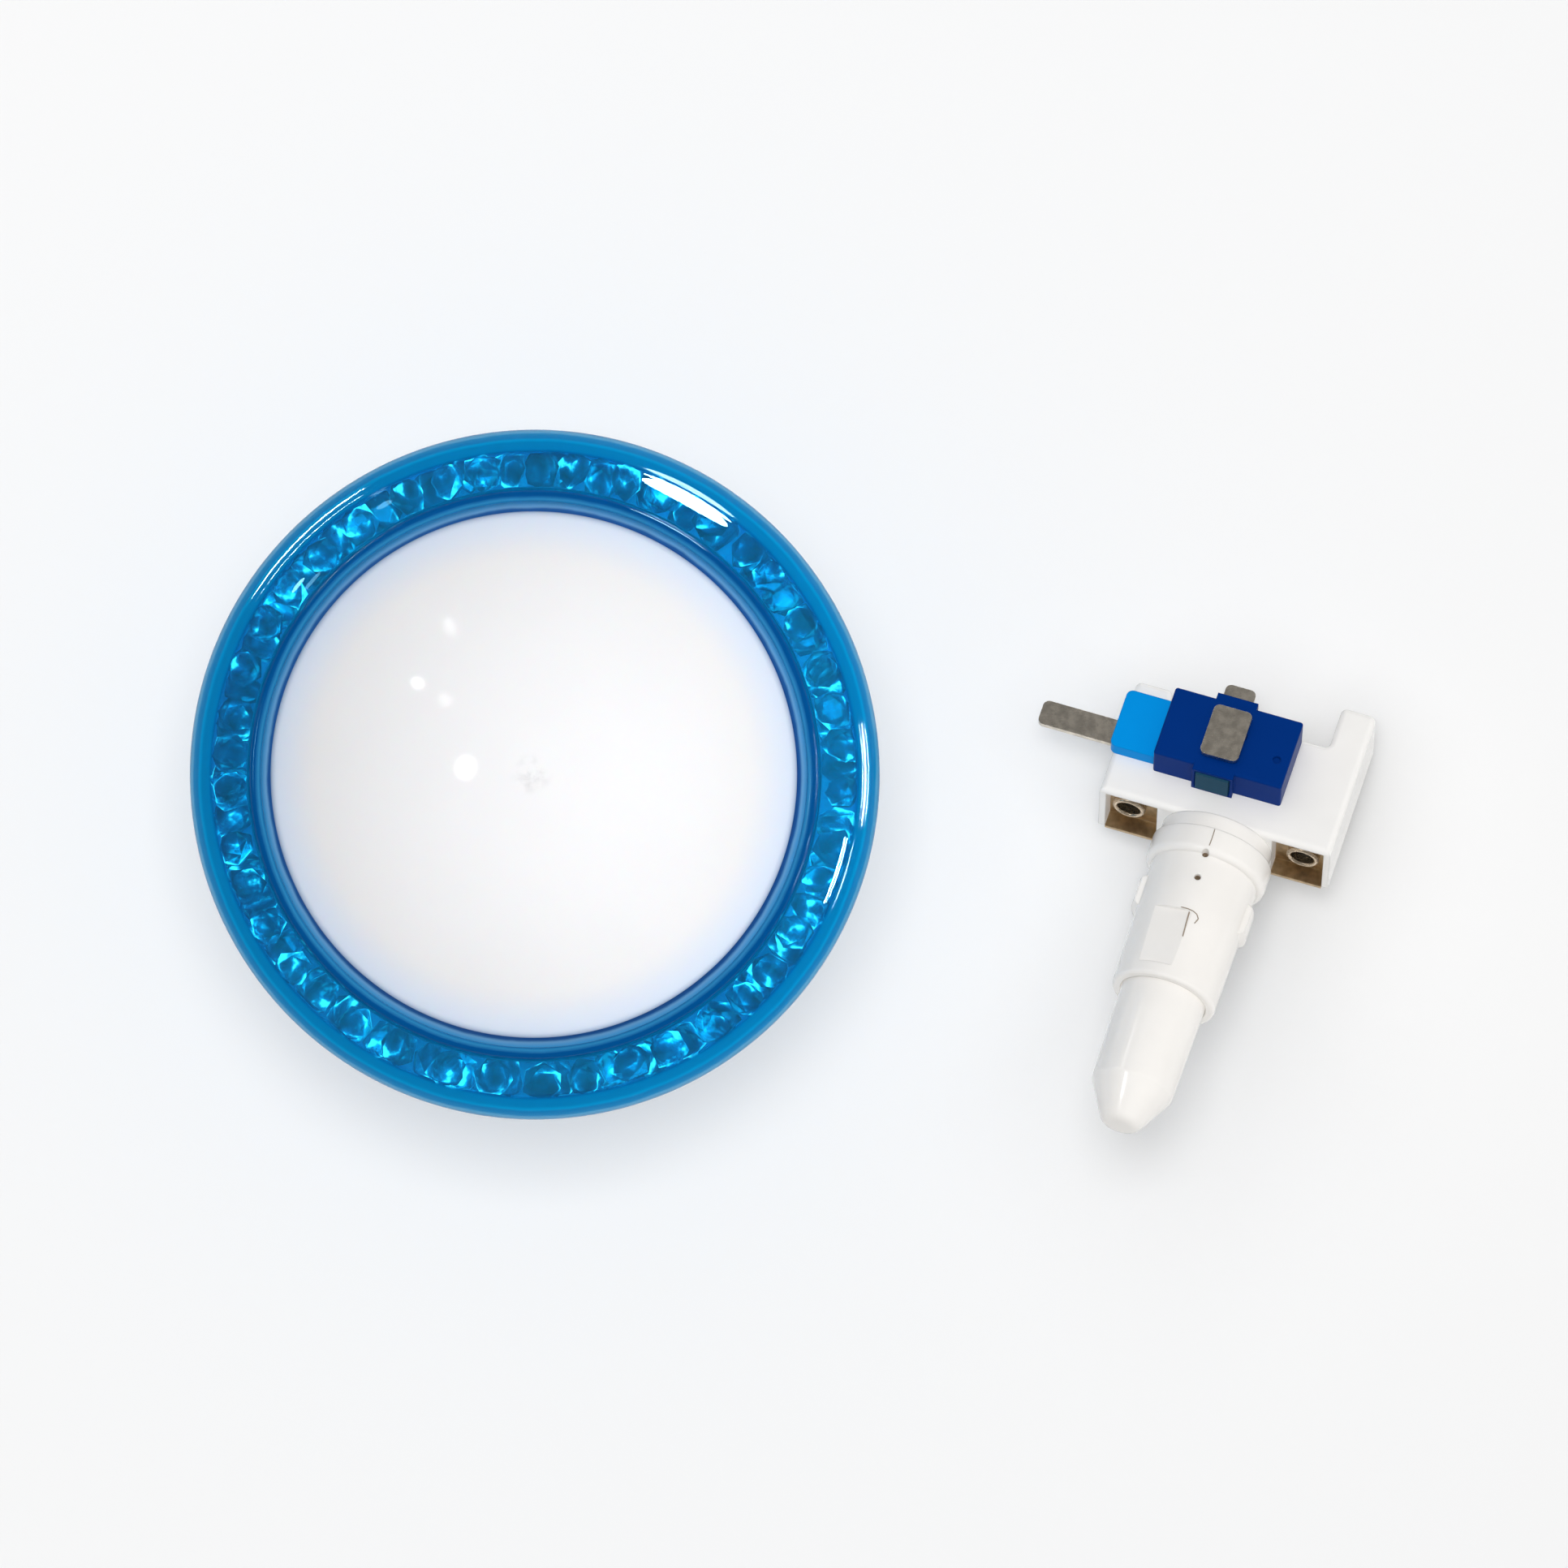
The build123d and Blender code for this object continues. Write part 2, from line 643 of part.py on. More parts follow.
def common_tail(gap):
    """Part of the common terminal inside the case, with its post, grown by a gap all round."""
    low = FRAME_HALF_HEIGHT + COMMON_LIFT
    tail = deep_block(
        (-CASE_LEFT, common_end + gap),
        (low - gap, low + BLADE_THICKNESS + gap),
        COMMON_FRONT - gap,
        COMMON_FRONT + COMMON_WIDTH + gap,
    )
    post = deep_block(
        (common_end - POST_WIDTH - gap, common_end + gap),
        (low, leaf_height + LEAF_HEIGHT + gap),
        leaf_front - gap,
        leaf_front + POST_WIDTH + gap,
    )
    return tail + post


def switch_case():
    """Cyan half of the switch, seated on the holder, with the common terminal let into it."""
    outline = plan_rectangle(-CASE_LEFT, CASE_RIGHT, CASE_FRONT, CASE_BACK, CASE_ROUND)
    return plan_plate(outline, FRAME_HALF_HEIGHT, case_top) - common_tail(SEAT_GAP)


def pad_solid(gap, travel):
    """Push pad and its stem, grown by a gap and by a travel away from the lamp."""
    half_pad = PAD_WIDTH / 2 + gap
    half_stem = PAD_STEM_WIDTH / 2 + gap
    half_height = PAD_STEM_HEIGHT / 2 + gap
    pad = deep_block(
        (band_middle - half_pad, band_middle + half_pad),
        (FRAME_HALF_HEIGHT + PAD_FOOT - gap, cover_top - PAD_HEAD + gap),
        pad_front,
        pad_back + travel,
    )
    stem = deep_block(
        (band_middle - half_stem, band_middle + half_stem),
        (leaf_middle - half_height, leaf_middle + half_height),
        pad_back,
        leaf_front - SEAT_GAP + travel,
    )
    return pad + stem


def switch_cover():
    """Dark blue half of the switch: a hollow lid with a band across it that guides the push pad."""
    lid = deep_block((-COVER_LEFT, COVER_RIGHT), (FRAME_HALF_HEIGHT, cover_top), COVER_FRONT, COVER_BACK)
    lid = fillet(lid.edges().filter_by(Axis.Y) + lid.faces().sort_by(Axis.Y)[-1].edges(), COVER_ROUND)
    lid += deep_block(
        (-BAND_LEFT, BAND_RIGHT),
        (FRAME_HALF_HEIGHT, cover_top),
        COVER_FRONT - BAND_RISE,
        COVER_BACK + BAND_RISE,
    )
    lid -= deep_block(
        (-COVER_LEFT, CASE_RIGHT + SEAT_GAP),
        (FRAME_HALF_HEIGHT, case_top + SEAT_GAP),
        CASE_FRONT - SEAT_GAP,
        CASE_BACK + SEAT_GAP,
    )
    lid -= deep_block(
        (-CAVITY_LEFT, CAVITY_RIGHT),
        (case_top, cover_top - COVER_ROOF),
        CAVITY_FRONT,
        CAVITY_BACK,
    )
    lid -= pad_solid(PAD_GAP, PAD_TRAVEL + SEAT_GAP)
    lid -= top_blade_root(SEAT_GAP) + rear_blade(SEAT_GAP)
    dimple = Rot(90, 0, 0) * Cylinder(DIMPLE_RADIUS, 2 * DIMPLE_DEPTH)
    return lid - Pos(DIMPLE_RIGHT, cover_top, -DIMPLE_BACK) * dimple


def common_terminal():
    """Long blade out of the case's left end, with the post that carries the contact leaf."""
    low = FRAME_HALF_HEIGHT + COMMON_LIFT
    back = COMMON_FRONT + COMMON_WIDTH
    outline = plan_rectangle(
        -CASE_LEFT - COMMON_LENGTH, BLADE_ROUND - CASE_LEFT, COMMON_FRONT, back, BLADE_ROUND
    )
    blade = plan_plate(outline, low, low + BLADE_THICKNESS)
    blade -= deep_block((-CASE_LEFT, 0), (low, low + BLADE_THICKNESS), 0, FRAME_DEPTH)
    return blade + common_tail(0)


def contact_leaf():
    """Springy leaf beside the post: a rolled eye at its root and a contact button on its far side."""
    leaf = deep_block(
        (leaf_left, leaf_left + LEAF_LENGTH),
        (leaf_height, leaf_height + LEAF_HEIGHT),
        leaf_front,
        leaf_front + LEAF_THICKNESS,
    )
    root = Pos(leaf_left + LEAF_EYE, leaf_middle, -leaf_front - LEAF_THICKNESS / 2)
    leaf += root * Rot(90, 0, 0) * Cylinder(LEAF_EYE, LEAF_HEIGHT)
    depth = leaf_front + LEAF_THICKNESS + CONTACT_HEIGHT / 2
    return leaf + Pos(contact_x, leaf_middle, -depth) * Cylinder(CONTACT_RADIUS, CONTACT_HEIGHT)


def top_blade_root(gap):
    """Leg of the top terminal that goes down through the cover's roof."""
    return deep_block(
        (TOP_BLADE_RIGHT - TOP_BLADE_ROOT_WIDTH - gap, TOP_BLADE_RIGHT + gap),
        (leaf_height, cover_top + TOP_BLADE_LIFT + BLADE_THICKNESS / 2),
        TOP_BLADE_ROOT - gap,
        TOP_BLADE_ROOT + BLADE_THICKNESS + gap,
    )


def top_terminal():
    """Terminal folded flat over the cover, with its leg and fixed contact inside."""
    low = cover_top + TOP_BLADE_LIFT
    outline = plan_rectangle(-TOP_BLADE_LEFT, TOP_BLADE_RIGHT, TOP_BLADE_FRONT, TOP_BLADE_BACK, BLADE_ROUND)
    button = Cylinder(CONTACT_RADIUS, CONTACT_HEIGHT)
    blade = plan_plate(outline, low, low + BLADE_THICKNESS) + top_blade_root(0)
    return blade + Pos(contact_x, leaf_middle, CONTACT_HEIGHT / 2 - TOP_BLADE_ROOT) * button


def rear_blade(gap):
    """Short blade through the back wall of the cover, grown by a gap all round."""
    low = FRAME_HALF_HEIGHT + REAR_BLADE_LIFT
    return deep_block(
        (-REAR_BLADE_LEFT - gap, gap - REAR_BLADE_RIGHT),
        (low - gap, low + BLADE_THICKNESS + gap),
        COVER_BACK - REAR_BLADE_TAIL,
        COVER_BACK + REAR_BLADE_LENGTH,
    )


def rear_terminal():
    """Rear terminal with rounded outer corners."""
    blade = rear_blade(0)
    outer = blade.faces().sort_by(Axis.Z)[0]
    return fillet(outer.edges().filter_by(Axis.Y), BLADE_ROUND)


def laid_out(pieces):
    """Turn and tilt the holder's pieces beside the button, down to the table that its barrel stands on."""
    turn = radians(HOLDER_TURN)
    tilt = radians(HOLDER_TILT)
    along = (cos(turn), -cos(tilt) * sin(turn), sin(tilt) * sin(turn))
    lamp_way = (-sin(turn), -cos(tilt) * cos(turn), sin(tilt) * cos(turn))
    plane = Plane(origin=(HOLDER_SHIFT_X, HOLDER_SHIFT_Y, 0), x_dir=along, z_dir=lamp_way)
    turned_pieces = {node: plane.location * piece for node, piece in pieces.items()}
    lowest = min(piece.bounding_box().min.Z for piece in turned_pieces.values())
    drop = Pos(0, 0, -BARREL_LENGTH - lowest)
    return {node: drop * piece for node, piece in turned_pieces.items()}


left_recess, right_recess = recess_ranges()
button_pieces = {
    "base_housing": base_housing(),
    "bezel_ring": bezel_ring(),
    "crystal_stones": crystal_stones(),
    "panel_nut": panel_nut(),
    "return_spring": return_spring(),
    "plunger": plunger(),
    "dome_cap": dome_cap(),
}
holder_pieces = {
    "holder_frame": holder_frame(),
    "lamp_terminal_left": lamp_terminal(left_recess, -1),
    "lamp_terminal_right": lamp_terminal(right_recess, 1),
    "terminal_rivet_left": terminal_rivet(-1),
    "terminal_rivet_right": terminal_rivet(1),
    "lamp_tube": lamp_tube(),
    "lamp_bullet": lamp_bullet(),
    "lamp": lamp(),
    "switch_case": switch_case(),
    "switch_cover": switch_cover(),
    "push_pad": pad_solid(0, 0),
    "common_terminal": common_terminal(),
    "contact_leaf": contact_leaf(),
    "top_terminal": top_terminal(),
    "rear_terminal": rear_terminal(),
}

os.makedirs("parts", exist_ok=True)
for node, piece in (button_pieces | laid_out(holder_pieces)).items():
    export_step(piece, f"parts/{node}.step")
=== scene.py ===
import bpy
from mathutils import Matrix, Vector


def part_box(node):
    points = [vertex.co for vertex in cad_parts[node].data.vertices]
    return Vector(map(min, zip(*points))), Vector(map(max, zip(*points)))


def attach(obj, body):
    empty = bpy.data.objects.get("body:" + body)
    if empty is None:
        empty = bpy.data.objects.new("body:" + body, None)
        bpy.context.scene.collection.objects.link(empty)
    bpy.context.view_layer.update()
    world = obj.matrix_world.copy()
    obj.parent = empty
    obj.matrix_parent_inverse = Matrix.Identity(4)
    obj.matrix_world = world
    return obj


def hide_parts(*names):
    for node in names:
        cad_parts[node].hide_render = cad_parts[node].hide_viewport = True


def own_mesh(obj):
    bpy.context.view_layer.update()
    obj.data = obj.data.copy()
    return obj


bl_info = {
    "name": "Arcade Push Button",
    "version": (1, 0, 0),
    "blender": (4, 5, 0),
    "location": "3D View > Sidebar > Push Button",
    "description": "Dresses a dome push button with a ring of cut stones and its lamp-and-switch holder",
    "category": "Object",
}

from math import cos, pi, radians, sin

import bmesh
import bpy
import numpy as np
from bpy.props import FloatProperty, FloatVectorProperty, IntProperty, PointerProperty
from bpy.types import Operator, Panel, PropertyGroup
from mathutils import Vector

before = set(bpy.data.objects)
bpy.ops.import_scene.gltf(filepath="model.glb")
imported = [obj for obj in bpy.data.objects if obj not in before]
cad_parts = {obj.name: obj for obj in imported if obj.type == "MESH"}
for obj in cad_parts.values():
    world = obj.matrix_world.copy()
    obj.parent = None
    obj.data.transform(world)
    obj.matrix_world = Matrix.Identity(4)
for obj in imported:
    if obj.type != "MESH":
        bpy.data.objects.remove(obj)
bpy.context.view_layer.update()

MM = 0.001

# Lengths in millimetres: heights over the panel's face, and half the table's width.
BASE_TOP = 2.5
TABLE = -40.0
TABLE_HALF = 3000.0

# The dome's skirt, its rounded turn and the broken edge at its foot.
SKIRT_HEIGHT = 4.6
SKIRT_EDGE = 0.3
CROWN_BEND = 1.67

# The ring's channel: its walls inwards from the ring's edge, and its sloping roof.
CHANNEL_INNER = 8.7
CHANNEL_OUTER = 3.3
ROOF_INNER = 11.4
ROOF_OUTER = 9.4
STONE_ROOM = 0.2
FIRST_LAYER = 2.2
LAYER_STEP = 2.9

SPRING_RADIUS = 12.48
SPRING_TOP = 20.0
SPRING_TURNS = 6
SPRING_ROOM = 0.05

# The lamp tube: radii of its flange and body, where the flange ends, and the body's taper.
FLANGE_RADIUS = 9.1
FLANGE_END = 6.5
TUBE_RADIUS = 8.1
TUBE_START = 6.6
TUBE_LENGTH = 20.7
TUBE_TAPER = 0.3
PIN_RADIUS = 0.46
PIN_SINK = 0.55
PIN_RISE = 0.3

# The rivets' bores and the dished discs set in them as painted shadow.
RIVET_SPREAD = 13.35
RIVET_SHIFT = (-0.65, -0.7)
BORE_FLOOR = -3.15
BORE_RADIUS = 1.7
BORE_RIM = 0.45
BORE_DISH = 0.25

RING_GLOSS = (0.3, 0.75, 1.0)

# Lamps: bearing and height in degrees, width and length in metres, power in watts.
FAR = 1.5
NEAR = 1.0
OVERHEAD = {"overhead": (90, 83, (0.44, 0.44), 7.7)}
FILLS = {
    "right_fill": (0, 45, (1.2, 1.2), 8.3),
    "low_fill": (250, 48, (1.2, 1.2), 5.9),
    "top_fill": (110, 45, (1.2, 1.2), 3.6),
}
SKY = {"holder_sky": (135, 82, (2.4, 2.4), 22.8)}
SPOTS = {
    "high_spot": (174, 66, (0.13, 0.12), 0.9),
    "left_spot": (142, 37, (0.05, 0.09), 0.30),
    "left_glow": (140, 49, (0.06, 0.09), 0.10),
    "back_glow": (120, 28, (0.05, 0.14), 0.12),
}
STRIPS = {
    "right_strip": (62, 19, (0.30, 0.34), 26.0),
    "side_strip": (0, 5, (0.32, 0.024), 9.0),
    "low_strip": (342, 16, (0.22, 0.024), 7.0),
    "left_strip": (135, 6, (0.48, 0.024), 9.0),
}
WHITE_RIMS = {"right_rim": (0, 10, (0.5, 0.3), 0.8)}
DOME_RIMS = {"low_rim": (270, 8, (0.5, 0.3), 0.8), "top_rim": (90, 8, (0.5, 0.3), 0.55)}
TABLE_PAINT = (0.76, 0.76, 0.76)
TABLE_GLOW = 0.085
WORLD_LIGHT = 0.28

CAMERA_LENS = 315.9
CAMERA_PLACE = (0.0361, -0.00136, 2.0)
CAMERA_END = 20.0


class ButtonSizes(PropertyGroup):
    """Sizes of the button, in metres."""

    dome_radius: FloatProperty(
        name="Dome radius", description="Radius of the dome's skirt", default=0.038, unit="LENGTH"
    )
    dome_rise: FloatProperty(
        name="Dome rise", description="Height of the crown above the skirt", default=0.019, unit="LENGTH"
    )
    dome_foot: FloatProperty(
        name="Dome foot",
        description="Height of the skirt's lower edge",
        default=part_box("dome_cap")[0][2],
        unit="LENGTH",
    )
    dome_wall: FloatProperty(
        name="Dome wall", description="Thickness of the dome", default=0.002, unit="LENGTH"
    )
    bezel_radius: FloatProperty(
        name="Bezel radius",
        description="Outer radius of the clear ring",
        default=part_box("bezel_ring")[1][0],
        unit="LENGTH",
    )
    stone_count: IntProperty(name="Stones", description="Stones in each layer of the channel", default=42)
    stone_radius: FloatProperty(
        name="Stone radius", description="Radius of a stone at its girdle", default=0.0028, unit="LENGTH"
    )
    wire: FloatProperty(
        name="Spring wire", description="Thickness of the spring's wire", default=0.0014, unit="LENGTH"
    )


class ButtonColours(PropertyGroup):
    """Colours of the button, as scene-linear values."""

    dome: FloatVectorProperty(
        name="Dome", description="White of the dome", default=(0.86, 0.86, 0.875), subtype="COLOR"
    )
    clear: FloatVectorProperty(
        name="Clear ring", description="Tint of the clear ring", default=(0.03, 0.70, 0.95), subtype="COLOR"
    )
    stone: FloatVectorProperty(
        name="Stones", description="Tint of the cut stones", default=(0.0, 0.527, 0.95), subtype="COLOR"
    )
    base: FloatVectorProperty(
        name="Base", description="Blue of the base and barrel", default=(0.0, 0.30, 0.62), subtype="COLOR"
    )
    holder: FloatVectorProperty(
        name="Holder", description="White of the holder", default=(0.88, 0.865, 0.84), subtype="COLOR"
    )
    milk: FloatVectorProperty(
        name="Lamp tube",
        description="Warm white of the lamp tube",
        default=(0.87, 0.845, 0.81),
        subtype="COLOR",
    )
    case: FloatVectorProperty(
        name="Switch case",
        description="Cyan of the switch's lower half",
        default=(0.0, 0.27, 0.72),
        subtype="COLOR",
    )
    cover: FloatVectorProperty(
        name="Switch cover",
        description="Dark blue of the switch's cover",
        default=(0.0, 0.028, 0.19),
        subtype="COLOR",
    )
    nickel: FloatVectorProperty(
        name="Nickel", description="Plated terminals", default=(0.66, 0.60, 0.51), subtype="COLOR"
    )


class HolderPose(PropertyGroup):
    """How the lamp-and-switch holder lies beside the button."""

    origin: FloatVectorProperty(
        name="Origin",
        description="Where the lamp's axis leaves the holder's face",
        default=(0.0998, -0.0097, -0.0244245),
        subtype="XYZ",
        unit="LENGTH",
    )
    turn: FloatProperty(
        name="Turn", description="Turn of the holder on the table", default=radians(17.75), subtype="ANGLE"
    )
    tilt: FloatProperty(
        name="Tilt",
        description="Lift of the lamp's tip above the table",
        default=radians(27.0),
        subtype="ANGLE",
    )


class Value:
    """A number in a material. Python arithmetic on it adds Math nodes to its tree."""

    def __init__(self, tree, socket):
        self.tree = tree
        self.socket = socket

    def join(self, operation, *items):
        node = self.tree.nodes.new("ShaderNodeMath")
        node.operation = operation
        for slot, item in zip(node.inputs, items):
            if isinstance(item, Value):
                self.tree.links.new(item.socket, slot)
            else:
                slot.default_value = item
        return Value(self.tree, node.outputs[0])

    def __add__(self, other):
        return self.join("ADD", self, other)

    __radd__ = __add__

    def __sub__(self, other):
        return self.join("SUBTRACT", self, other)

    def __rsub__(self, other):
        return self.join("SUBTRACT", other, self)

    def __mul__(self, other):
        return self.join("MULTIPLY", self, other)

    __rmul__ = __mul__

    def __truediv__(self, other):
        return self.join("DIVIDE", self, other)

    def __pow__(self, other):
        return self.join("POWER", self, other)


class Finish:
    """One material's node tree, built from nodes that are named by type."""

    def __init__(self, name):
        self.material = bpy.data.materials.new(name)
        self.material.use_nodes = True
        self.tree = self.material.node_tree
        self.tree.nodes.clear()

    def node(self, kind, settings=None, sockets=None, output=0):
        """Adds a node, sets its settings, then its sockets from values or links."""
        node = self.tree.nodes.new("ShaderNode" + kind)
        for key, setting in (settings or {}).items():
            if key == "stops":
                ramp = node.color_ramp.elements
                while len(ramp) < len(setting):
                    ramp.new(0.5)
                for element, (place, colour) in zip(ramp, setting):
                    element.position = place
                    element.color = (*colour, 1.0)
            else:
                setattr(node, key, setting)
        for key, item in (sockets or {}).items():
            slot = node.inputs[key]
            if isinstance(item, Value):
                self.tree.links.new(item.socket, slot)
            elif slot.type == "RGBA" and len(item) == 3:
                slot.default_value = (*item, 1.0)
            else:
                slot.default_value = item
        return Value(self.tree, node.outputs[output])

    def place(self):
        """Object coordinates."""
        return self.node("TexCoord", output="Object")

    def noise(self, size, detail=3.0, place=None):
        """Soft noise whose spots are about the given size in metres, from 0 to 1."""
        return self.node(
            "TexNoise", sockets={"Vector": place or self.place(), "Scale": 1 / size, "Detail": detail}
        )

    def tinted(self, colour, other, share):
        """Colour between two by a share (a Mix node's colours are sockets 6 and 7, and their mix is 2)."""
        return self.node("Mix", {"data_type": "RGBA"}, {"Factor": share, 6: colour, 7: other}, output=2)

    def reach(self):
        """Distance from the button's upright axis, in metres."""
        place = self.place()
        across = self.node("SeparateXYZ", sockets={0: place}, output="X")
        along = self.node("SeparateXYZ", sockets={0: place}, output="Y")
        return (across * across + along * along) ** 0.5

    def smooth(self, value, low, high):
        """Smooth step from 0 at one value to 1 at another."""
        sockets = {"Value": value, "From Min": low, "From Max": high}
        return self.node("MapRange", {"interpolation_type": "SMOOTHSTEP"}, sockets)

    def shell(self, sockets):
        """Ends the tree in one Principled surface."""
        surface = self.node("BsdfPrincipled", sockets=sockets)
        return self.close(surface)

    def close(self, surface):
        end = self.tree.nodes.new("ShaderNodeOutputMaterial")
        self.tree.links.new(surface.socket, end.inputs["Surface"])
        return self.material


def shaded(colour, share):
    """A colour made darker or lighter by a share."""
    return tuple(min(1.0, part * share) for part in colour)


def moulded(name, colour, rough=0.22, grain=0.02, edge=0.25, **fixed):
    """Moulded plastic: faint clouding of the colour, a fine skin on the gloss and softened edges."""
    finish = Finish(name)
    cloud = finish.noise(0.009)
    skin = finish.noise(0.0006, 2.0)
    soft_edge = finish.node("Bevel", {"samples": 6}, {"Radius": edge * MM})
    bump = finish.node(
        "Bump", sockets={"Strength": grain, "Distance": 0.0002, "Height": skin, "Normal": soft_edge}
    )
    return finish.shell(
        {
            "Base Color": finish.tinted(shaded(colour, 0.94), shaded(colour, 1.04), cloud),
            "Roughness": rough + (skin - 0.5) * 0.10,
            "Normal": bump,
            **fixed,
        }
    )


def plated(name, colour, rough=0.30, edge=0.12):
    """Plated metal: drawn streaks along one way, clouded tarnish and softened edges."""
    finish = Finish(name)
    stretched = finish.node("Mapping", sockets={"Vector": finish.place(), "Scale": (1.0, 9.0, 9.0)})
    streak = finish.noise(0.0016, 4.0, stretched)
    cloud = finish.noise(0.0012, 6.0)
    soft_edge = finish.node("Bevel", {"samples": 6}, {"Radius": edge * MM})
    bump = finish.node(
        "Bump", sockets={"Strength": 0.02, "Distance": 0.0001, "Height": streak, "Normal": soft_edge}
    )
    tarnish = finish.smooth(cloud, 0.3, 0.7)
    return finish.shell(
        {
            "Base Color": finish.tinted(shaded(colour, 0.80), shaded(colour, 1.18), tarnish),
            "Roughness": rough + (streak - 0.5) * 0.25,
            "Metallic": 1.0,
            "Normal": bump,
        }
    )


def clear_plastic(name, colour, milk, rough=0.03):
    """Clear tinted plastic: light passes through, with a little body colour held in it."""
    finish = Finish(name)
    cloud = finish.noise(0.006)
    return finish.shell(
        {
            "Base Color": finish.tinted(shaded(colour, 0.92), shaded(colour, 1.06), cloud),
            "Roughness": rough,
            "IOR": 1.49,
            "Transmission Weight": 1.0 - milk,
        }
    )


def dome_plastic(name, colour, radius):
    """White dome: white on the crown, painted blue bounce shade by the skirt, painted camera reflection on
    top.
    """
    finish = Finish(name)
    out = finish.reach()
    rim = finish.smooth(out, radius * 0.80, radius)
    cloud = finish.noise(0.012)
    skin = finish.noise(0.0006, 2.0)
    # Painted reflection of the camera: a faint grey smudge at the top of the dome.
    painted_camera_reflection = finish.smooth(out, 0.0034, 0.0003) * finish.smooth(finish.noise(0.0019, 5.0), 0.42, 0.75)
    white = finish.tinted(shaded(colour, 0.98), shaded(colour, 1.01), cloud)
    # Painted shade and blue bounce light from the ring: the white darkens and cools towards the skirt.
    rim_painted_bounce_shade = finish.tinted(white, (0.70, 0.79, 0.94), rim)
    return finish.shell(
        {
            "Base Color": finish.tinted(rim_painted_bounce_shade, (0.42, 0.42, 0.43), painted_camera_reflection * 0.55),
            "Roughness": 0.09 + (skin - 0.5) * 0.04,
            "Normal": finish.node("Bump", sockets={"Strength": 0.01, "Distance": 0.0002, "Height": skin}),
            "Specular IOR Level": 0.22,
            "Subsurface Weight": 0.15,
            "Subsurface Scale": 0.002,
        }
    )


def moat_plastic(name, radius):
    """Plunger rim seen in the gap round the dome: deep blue painted shadow by the skirt, pale blue grey
    painted reflection of the dome beyond it.
    """
    finish = Finish(name)
    # Painted light by distance from the skirt: painted shadow in the gap, then a painted reflection of the
    # dome, then blue.
    stops = [
        (0.0, (0.0, 0.07, 0.26)),
        (0.30, (0.0, 0.09, 0.30)),
        (0.55, (0.13, 0.35, 0.57)),
        (1.0, (0.03, 0.28, 0.56)),
    ]
    across = (finish.reach() - radius) / 0.0014 + (finish.noise(0.005) - 0.5) * 0.3
    return finish.shell(
        {
            "Base Color": finish.node("ValToRGB", {"stops": stops}, {"Fac": across}),
            "Roughness": 0.3 + (finish.noise(0.0006) - 0.5) * 0.1,
        }
    )


def ring_plastic(name, colour, outer):
    """Clear ring: open over the channel, and full of colour where the tall walls are seen edge on.

    The colour of the walls follows the distance from the axis: a painted highlight on the lip, a deep blue
    collar, a painted highlight streak in the outer wall and a painted highlight on the rim.
    """
    finish = Finish(name)
    cloud = finish.noise(0.006)
    radius = finish.reach()
    wall = finish.smooth(radius, outer - 0.0037, outer - 0.0030)
    collar = finish.smooth(radius, outer - 0.0084, outer - 0.0089)
    clear = finish.node(
        "BsdfPrincipled",
        sockets={
            "Base Color": finish.tinted(shaded(colour, 0.95), shaded(colour, 1.05), cloud),
            "Roughness": 0.02,
            "IOR": 1.49,
            "Transmission Weight": 0.97,
            "Specular IOR Level": 0.2,
            "Specular Tint": RING_GLOSS,
        },
    )
    # Painted highlights in these stops: the light lip at 0.05, the pale streak at 0.855 and the pale rim at
    # 0.96.
    stops = [
        (0.00, (0.0, 0.15, 0.40)),
        (0.05, (0.03, 0.26, 0.52)),
        (0.10, (0.0, 0.08, 0.28)),
        (0.16, (0.0, 0.09, 0.30)),
        (0.20, (0.0, 0.20, 0.46)),
        (0.70, (0.0, 0.14, 0.40)),
        (0.73, (0.0, 0.21, 0.50)),
        (0.82, (0.0, 0.24, 0.55)),
        (0.855, (0.0, 0.36, 0.72)),
        (0.885, (0.0, 0.22, 0.54)),
        (0.935, (0.0, 0.27, 0.60)),
        (0.96, (0.10, 0.46, 0.78)),
        (0.995, (0.06, 0.30, 0.56)),
    ]
    across = (radius - (outer - 0.0108)) / 0.0108 + (cloud - 0.5) * 0.03
    full = finish.node(
        "BsdfPrincipled",
        sockets={
            "Base Color": finish.node("ValToRGB", {"stops": stops}, {"Fac": across}),
            "Roughness": 0.05,
            "IOR": 1.49,
            "Transmission Weight": 0.2,
            "Specular IOR Level": 0.08,
            "Specular Tint": RING_GLOSS,
        },
    )
    skirt = finish.node(
        "BsdfPrincipled",
        sockets={
            "Base Color": finish.tinted((0.0, 0.34, 0.70), (0.02, 0.44, 0.82), cloud),
            "Roughness": 0.03,
            "IOR": 1.49,
            "Transmission Weight": 0.55,
            "Specular Tint": RING_GLOSS,
        },
    )
    share = wall.join("MAXIMUM", wall, collar)
    above = finish.node("MixShader", sockets={0: share, 1: clear, 2: full})
    height = finish.node("SeparateXYZ", sockets={0: finish.place()}, output="Z")
    low = finish.smooth(height, 0.0074, 0.0062) * wall
    return finish.close(finish.node("MixShader", sockets={0: low, 1: above, 2: skirt}))


